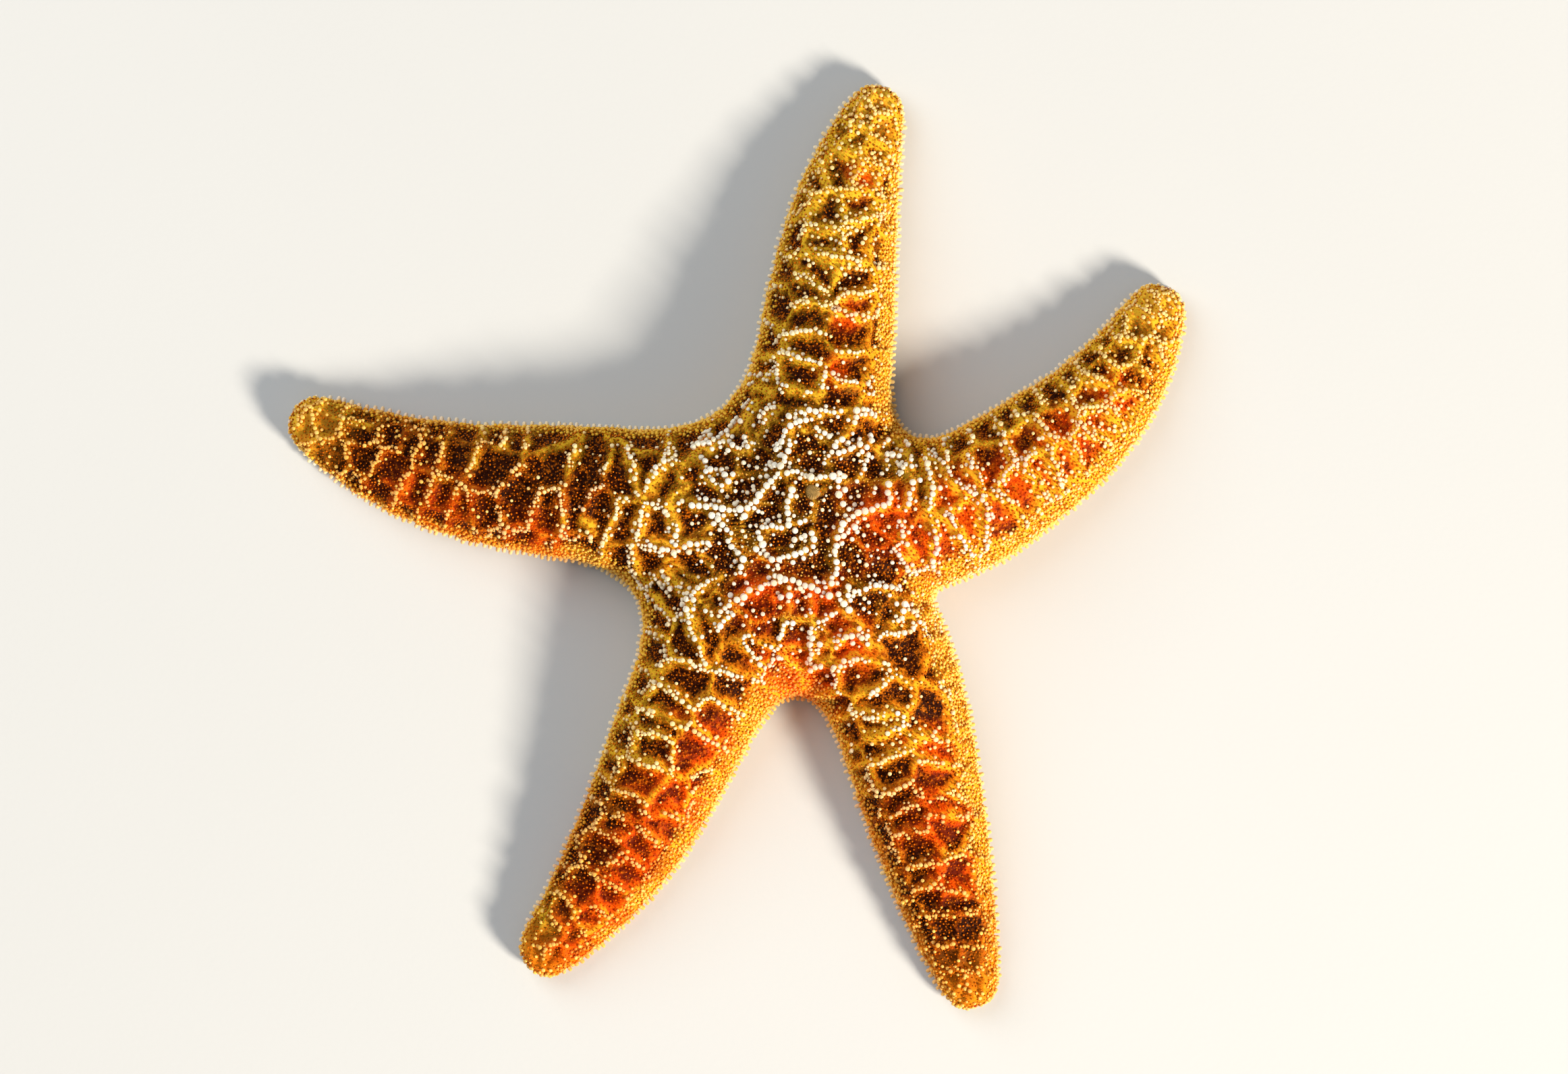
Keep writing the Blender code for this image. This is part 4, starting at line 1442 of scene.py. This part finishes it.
def build_oral_spines():
    """Blunt spines on the sole, just reaching the floor, and a row along each groove."""
    rng = draws("sole_spines")
    sole = scatter("sole_seats", SOLE_SPACING,
                   lambda m: (m["band"] > SOLE_BAND[0]) * (m["band"] < SOLE_BAND[1]))
    edge = rim_seats(GROOVE_EDGE, GROOVE_PITCH)
    mat = spine_material("sole_lime", paint("underside"), (
        (0.0, "underside"), (0.5, "arm_spine", 0.9), (1.0, "disc_spine", 0.9)))
    for name, seats, girth in (("sole_spines", sole, 0.00085), ("groove_spines", edge, 0.00062)):
        width = girth * rng.uniform(0.8, 1.15, len(seats["at"]))
        length = np.maximum(seats["at"][:, 2] - 0.00002, 0.0004)
        stamped_pieces(name, TOOTH, seats, width, length, mat,
                       rng.beta(2.0, 2.0, len(width)), up=downward(seats))


def build_tube_feet():
    """Four rows of tube feet with suckers in each groove, hanging just short of the floor."""
    rng = draws("tube_feet")
    rows = [rim_seats(level, FOOT_PITCH) for level in FOOT_ROWS]
    seats = {name: np.concatenate([row[name] for row in rows]) for name in rows[0]}
    seats = pick(seats, seats["at"][:, 2] > LEAST_ROOM)
    length = seats["at"][:, 2] - 0.00012
    width = np.minimum(sizes().tube_foot * rng.uniform(0.85, 1.1, len(length)), 0.9 * length)
    tint = rng.beta(2.0, 2.0, len(width))
    mat = spine_material("tube_foot_flesh", paint("tube_foot"), (
        (0.0, "tube_foot"), (1.0, "tube_foot", 1.35)), roughness=(0.25, 0.4))
    stamped_pieces("tube_feet", TUBE_FOOT, seats, width, length, mat, tint, up=downward(seats))


def turned_surface(radius, height, steps, rings):
    """A closed grid over angle and profile, welded at both poles.

    radius(t, v) and height(t, v) give each point for angle t and v from 0 to 1: it is at
    the radius times the angle's cosine and sine, and at the height.
    """
    t = np.arange(steps) / steps * TURN
    v = np.linspace(0.0, 1.0, rings + 2)[1:-1]
    vv, tt = np.meshgrid(v, t, indexing="ij")
    r, z = radius(tt, vv), height(tt, vv)
    grid = np.stack([r * np.cos(tt), r * np.sin(tt), z], axis=2).reshape(-1, 3)
    ends = [[0.0, 0.0, float(np.mean(height(t, np.full_like(t, e))))] for e in (0.0, 1.0)]
    return np.concatenate([grid, ends]), ring_triangles(rings, steps)


def flat_maps(points, triangles, map_at):
    """OFBake places of a small organ: its plan, scaled to one patch, about its root's place."""
    span = np.abs(points[:, :2]).max() * 2.0
    return map_at + PATCH * points[:, :2][triangles] / span


def seat_at(x, y):
    """Skin place, normal and map place straight under one plan place."""
    seats, _ = drop_seats(np.array([x - MIDDLE[0]]), np.array([y - MIDDLE[1]]))
    return seats["at"][0], seats["up"][0], seats["map"][0]


def build_sieve_plate():
    """Madreporite: a low oval dome with branching furrows running out from its middle.

    The dome is a power of a cosine wide and a sine high. The furrows are a cosine wave
    round it, bent by sines of the way out.
    """
    low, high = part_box("madreporite")
    x, y = (low[0] + high[0]) / 2.0, (low[1] + high[1]) / 2.0
    wide = (high[0] - low[0]) / 2.0
    at, _, map_at = seat_at(x, y)

    def furrow(t, v):
        """0 on the crests to 1 in the furrows, easing off towards the middle."""
        out = np.cos(v * QUARTER)
        bend = 0.7 * np.sin(4.0 * out + 2.0 * np.sin(3.0 * t))
        return (0.5 + 0.5 * np.cos(FURROWS * t + bend)) * ease(out * 3.0)

    def radius(t, v):
        """A power of the quarter cosine, with three soft lobes."""
        return wide * np.cos(v * QUARTER) ** 0.7 * (1.0 + 0.05 * np.sin(3.0 * t + 1.0))

    def height(t, v):
        """A quarter sine less the furrows' depth, and flat at the root."""
        return wide * (0.42 * np.sin(v * QUARTER) - 0.09 * furrow(t, v)) * (v > 0.0)

    points, triangles = turned_surface(radius, height, 96, 22)
    maps = flat_maps(points, triangles, map_at)
    points = points + np.array([at[0], at[1], at[2] + 0.00005])
    mat = soft_material("sieve_plate_lime", paint("sieve"), paint("sieve", 1.7), 0.5)
    obj = add_piece("sieve_plate", points, triangles, mat, maps)
    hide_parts("madreporite")


def build_mouth():
    """Soft mouth: a ring of lip folds round a puckered opening, up in the mouth hollow."""
    _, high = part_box("mouth")
    wide = MOUTH_FILL * MOUTH_RADIUS
    root = high[2] + MOUTH_LIFT

    def radius(t, v):
        """A power of the way in, times folds: a cosine round the ring."""
        fold = 1.0 + 0.05 * np.cos(LIP_FOLDS * t) * np.sin(v * math.pi)
        return wide * (1.0 - v) ** 0.8 * fold

    def height(t, v):
        """A bell curve for the lip plus puckers, a cosine that turns on the way in."""
        lip = np.exp(-((v - 0.55) / 0.2) ** 2)
        pucker = 0.12 * np.cos(LIP_FOLDS * t + 3.0 * v) * np.sin(v * math.pi)
        return -root + wide * (0.5 * lip + pucker * 0.6) * (v > 0.0)

    points, triangles = turned_surface(radius, height, 120, 30)
    points = points * np.array([1.0, -1.0, -1.0])
    maps = flat_maps(points, triangles, np.array([0.05, 0.5]))
    points = points + np.array([MIDDLE[0], MIDDLE[1], 0.0])
    mat = soft_material("mouth_flesh", paint("mouth", 0.8), paint("mouth", 1.2), 0.3)
    obj = add_piece("soft_mouth", points, triangles, mat, maps)
    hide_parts("mouth")


def build_eyespots():
    """Red cushions of small eye cups at the arm tips: balls whose radius waves both ways."""
    def radius(t, v):
        """A sine, times a cosine round the ball and one up it."""
        return np.sin(v * math.pi) * (1.0 + 0.08 * np.cos(7.0 * t) * np.cos(6.0 * v * math.pi))

    def height(t, v):
        """A cosine, from -1 to 1."""
        return -np.cos(v * math.pi)

    mat = soft_material("eyespot_flesh", paint("eyespot", 0.7), paint("eyespot", 1.2), 0.2)
    points, triangles = turned_surface(radius, height, 28, 14)
    for k, arm in enumerate(ARM_NAMES):
        node = "eyespot_" + arm
        low, high = (np.array(corner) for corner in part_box(node))
        wide = (high - low) / 2.0
        maps = flat_maps(points, triangles, np.array([0.99, (k + 0.5) / 5.0]))
        obj = add_piece(node + "_cups", points * wide * 1.04 + (low + high) / 2.0, triangles,
                        mat, maps)
        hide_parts(node)


# ---- stage ------------------------------------------------------------------

VIEW_MIDDLE = (-0.00376, -0.00238)     # camera's place in plan, from the disc's middle
VIEW_WIDTH = 0.340                     # plan width in view at the rim's height
CAMERA_DISTANCE = 0.85
SENSOR = 36.0
FLOOR_SIZE = 6.0
KEY_PLACE, KEY_SIZE = (1.75, -1.35, 1.30), 0.50
FILL_PLACE, FILL_SIZE = (-0.8, 0.7, 1.0), 1.2
FILL_COLOUR = (1.0, 0.98, 0.92)
ROOM_COLOUR = (0.98, 0.98, 1.0, 1.0)


def add_light(name, place, size, energy, colour, target):
    """A square area light at a place, turned to the target."""
    data = bpy.data.lights.new(name, "AREA")
    data.size = size
    data.energy = energy
    data.color = colour
    light = bpy.data.objects.new(name, data)
    light.location = place
    light.rotation_euler = (Vector(target) - Vector(place)).to_track_quat("-Z", "Y").to_euler()
    bpy.context.scene.collection.objects.link(light)


def build_stage():
    """Pale floor, a soft warm key from the lower right, a soft fill and the camera.

    The lens is the sensor times the camera's distance over the width in view.
    """
    scene = bpy.context.scene
    own = scene.sea_star_stage
    target = (float(MIDDLE[0]), float(MIDDLE[1]), 0.01)
    half = FLOOR_SIZE / 2.0
    corners = [(x * half, y * half, 0.0) for x, y in ((-1, -1), (1, -1), (1, 1), (-1, 1))]
    mesh = bpy.data.meshes.new("floor")
    mesh.from_pydata(corners, [], [(0, 1, 2, 3)])
    mat, shading, grain = start_material("floor_card", 3.0, 900.0)
    colour = shading.mix(grain["Blotch"], rgba(own.floor_colour, 0.98), rgba(own.floor_colour))
    close_material(shading, colour, 0.9, grain, 0.00002)
    mesh.materials.append(mat)
    floor = bpy.data.objects.new("floor", mesh)
    scene.collection.objects.link(floor)

    add_light("key", KEY_PLACE, KEY_SIZE, own.key_power, own.key_colour, target)
    add_light("fill", FILL_PLACE, FILL_SIZE, own.fill_power, FILL_COLOUR, target)
    world = bpy.data.worlds.new("soft_room")
    world.use_nodes = True
    background = world.node_tree.nodes["Background"]
    background.inputs["Color"].default_value = ROOM_COLOUR
    background.inputs["Strength"].default_value = own.room_light
    scene.world = world
    scene.view_settings.view_transform = "Standard"

    data = bpy.data.cameras.new("camera")
    data.sensor_width = SENSOR
    data.lens = SENSOR * CAMERA_DISTANCE / VIEW_WIDTH
    camera = bpy.data.objects.new("camera", data)
    camera.location = (MIDDLE[0] + VIEW_MIDDLE[0], MIDDLE[1] + VIEW_MIDDLE[1],
                       RIM_HEIGHT + CAMERA_DISTANCE)
    scene.collection.objects.link(camera)
    scene.camera = camera


# ---- add-on -----------------------------------------------------------------

def length_prop(name, description, default):
    """A length in metres, shown to a hundredth of a millimetre."""
    return FloatProperty(name=name, description=description, default=default, min=0.0,
                         unit="LENGTH", subtype="DISTANCE", precision=5)


def colour_prop(name, description, default):
    """A colour of three parts from 0 to 1."""
    return FloatVectorProperty(name=name, description=description, default=default, size=3,
                               min=0.0, max=1.0, subtype="COLOR")


class SeaStarSizes(bpy.types.PropertyGroup):
    """Sizes of the fine pieces."""
    coat_depth: length_prop("Coat depth", "Skin's depth under the solids", 0.00125)
    ridge_height: length_prop("Ridge height", "Height of the net's ridges", 0.00085)
    pit_depth: length_prop("Pit depth", "Depth of the pits between ridges", 0.00070)
    disc_spine: length_prop("Disc spine", "Width of a spine head on the disc", 0.00140)
    arm_spine: length_prop("Arm spine", "Width of a spine head on the arms", 0.00106)
    flank_spine: length_prop("Flank spine", "Width of a flank spine", 0.00078)
    speck: length_prop("Speck", "Width of a pincer or skin gill", 0.00040)
    fringe_length: length_prop("Fringe", "Length of the spines round the edge", 0.00142)
    tube_foot: length_prop("Tube foot", "Width of a sucker", 0.00138)


class SeaStarColours(bpy.types.PropertyGroup):
    """Colours of the skin and of the fine pieces."""
    # Partly painted shade: the skin's own dark brown, deepened in the hollows.
    pit: colour_prop("Pit", "Skin in the pits", (0.024, 0.004, 0.0006))
    # Painted light: olive round the pits on the sides turned from the key light, and on the disc.
    olive: colour_prop("Olive", "Skin round the pits on the cooler sides", (0.265, 0.115, 0.0035))
    # Painted light: skin round the pits on the sides lit by the key light.
    amber: colour_prop("Amber", "Skin round the pits on the riper sides", (0.620, 0.150, 0.003))
    # Partly painted shade: skin round the pits in the dark fields.
    dusk: colour_prop("Dusk", "Skin round the pits in the darker fields", (0.290, 0.030, 0.001))
    # Painted light: ridges on the sides turned from the key light; the ridge colour is theirs on
    # the lit sides.
    shade_side_ridge: colour_prop("Cool ridge", "Ridges on the cooler sides", (0.840, 0.510, 0.024))
    disc_ridge: colour_prop("Disc ridge", "Ridges of the disc", (0.800, 0.460, 0.035))
    ridge: colour_prop("Ridge", "Ridges of the arms", (0.880, 0.370, 0.012))
    warm: colour_prop("Warm", "Orange-red patches", (0.860, 0.085, 0.0015))
    flank: colour_prop("Flank", "Golden flanks", (0.930, 0.385, 0.011))
    # Painted light: flanks on the sides turned from the key light; the flank colour is theirs on
    # the lit sides.
    cool_flank: colour_prop("Cool flank", "Flanks of the cooler sides", (0.820, 0.500, 0.034))
    stain: colour_prop("Stain", "Stain on the spine heads", (0.900, 0.760, 0.520))
    underside: colour_prop("Underside", "Pale skin of the sole", (0.520, 0.330, 0.150))
    disc_spine: colour_prop("Disc spine", "Spine heads of the disc", (0.820, 0.800, 0.730))
    arm_spine: colour_prop("Arm spine", "Spine heads of the arms", (0.880, 0.710, 0.360))
    tip_spine: colour_prop("Tip spine", "Spine heads of the arm tips", (0.880, 0.560, 0.130))
    sieve: colour_prop("Sieve plate", "Madreporite", (0.200, 0.125, 0.040))
    # Partly painted shade: ridges, flanks and spine heads in the dark fields.
    rust_and_shade: colour_prop("Rust", "Ridges and flanks in the darker fields", (0.680, 0.150, 0.003))
    fleck: colour_prop("Fleck", "Golden flecks over the skin", (0.850, 0.400, 0.030))
    # Partly painted shade: the red patches' hollows.
    ember: colour_prop("Ember", "Pits of the orange-red patches", (0.130, 0.010, 0.0006))
    mouth: colour_prop("Mouth", "Soft mouth", (0.560, 0.300, 0.190))
    tube_foot: colour_prop("Tube foot", "Tube feet", (0.640, 0.450, 0.240))
    eyespot: colour_prop("Eyespot", "Eye cushions", (0.450, 0.020, 0.010))


class SeaStarStage(bpy.types.PropertyGroup):
    """Floor and light."""
    floor_colour: colour_prop("Floor", "Colour of the floor", (0.560, 0.590, 0.620))
    key_colour: colour_prop("Key colour", "Colour of the main light", (1.0, 0.87, 0.70))
    key_power: FloatProperty(name="Key", description="Power of the main light", default=135.0,
                             min=0.0, unit="POWER")
    fill_power: FloatProperty(name="Fill", description="Power of the fill light", default=14.0,
                              min=0.0, unit="POWER")
    room_light: FloatProperty(name="Room", description="Brightness of the room", default=0.30,
                              min=0.0)


def clear_default_scene():
    """Remove what is not the frame's: the start-up light and camera, if any."""
    for obj in list(bpy.data.objects):
        if obj.type in {"LIGHT", "CAMERA"}:
            bpy.data.objects.remove(obj, do_unlink=True)


class SEASTAR_OT_skin(bpy.types.Operator):
    """Build the netted skin over the disc and arms"""
    bl_idname = "seastar.skin"
    bl_label = "Skin"

    def execute(self, context):
        build_skin()
        return {"FINISHED"}


class SEASTAR_OT_back_spines(bpy.types.Operator):
    """Build the spine heads of the net, the lone ones and the specks"""
    bl_idname = "seastar.back_spines"
    bl_label = "Back Spines"

    def execute(self, context):
        build_net_spines()
        build_lone_spines()
        build_specks()
        return {"FINISHED"}


class SEASTAR_OT_flank_spines(bpy.types.Operator):
    """Build the golden flank spines and the fringe round the edge"""
    bl_idname = "seastar.flank_spines"
    bl_label = "Flank Spines and Fringe"

    def execute(self, context):
        build_flank_spines()
        build_fringe()
        return {"FINISHED"}


class SEASTAR_OT_underside(bpy.types.Operator):
    """Build the sole's spines, the tube feet and the mouth"""
    bl_idname = "seastar.underside"
    bl_label = "Underside"

    def execute(self, context):
        build_oral_spines()
        build_tube_feet()
        build_mouth()
        return {"FINISHED"}


class SEASTAR_OT_organs(bpy.types.Operator):
    """Build the madreporite and the eyespots"""
    bl_idname = "seastar.organs"
    bl_label = "Sieve Plate and Eyespots"

    def execute(self, context):
        build_sieve_plate()
        build_eyespots()
        return {"FINISHED"}


class SEASTAR_OT_stage(bpy.types.Operator):
    """Build the floor, the lights and the camera"""
    bl_idname = "seastar.stage"
    bl_label = "Stage"

    def execute(self, context):
        clear_default_scene()
        build_stage()
        return {"FINISHED"}


PIECE_OPERATORS = (SEASTAR_OT_skin, SEASTAR_OT_back_spines, SEASTAR_OT_flank_spines,
                   SEASTAR_OT_underside, SEASTAR_OT_organs, SEASTAR_OT_stage)
PROPERTY_GROUPS = {"sea_star_sizes": SeaStarSizes, "sea_star_colours": SeaStarColours,
                   "sea_star_stage": SeaStarStage}


class SEASTAR_PT_panel(bpy.types.Panel):
    """Lists the sea star's sizes, colours and pieces"""
    bl_idname = "SEASTAR_PT_panel"
    bl_label = "Sea Star"
    bl_space_type = "VIEW_3D"
    bl_region_type = "UI"
    bl_category = "Sea Star"

    def draw(self, context):
        column = self.layout.column(align=True)
        for operator in PIECE_OPERATORS:
            column.operator(operator.bl_idname)
        for name, group in PROPERTY_GROUPS.items():
            box = self.layout.box()
            for field in group.__annotations__:
                box.prop(getattr(context.scene, name), field)


def register():
    """Register every class, and put each property group on the scene."""
    for group in (*PROPERTY_GROUPS.values(), *PIECE_OPERATORS, SEASTAR_PT_panel):
        bpy.utils.register_class(group)
    for name, group in PROPERTY_GROUPS.items():
        setattr(bpy.types.Scene, name, PointerProperty(type=group))


def unregister():
    """Undo the registering, the last first."""
    for name in PROPERTY_GROUPS:
        delattr(bpy.types.Scene, name)
    for group in (SEASTAR_PT_panel, *PIECE_OPERATORS, *PROPERTY_GROUPS.values()):
        bpy.utils.unregister_class(group)


def main():
    """Build every piece, in order."""
    register()
    bpy.ops.seastar.stage()
    bpy.ops.seastar.skin()
    bpy.ops.seastar.back_spines()
    bpy.ops.seastar.flank_spines()
    bpy.ops.seastar.underside()
    bpy.ops.seastar.organs()


if __name__ == "__main__":
    main()
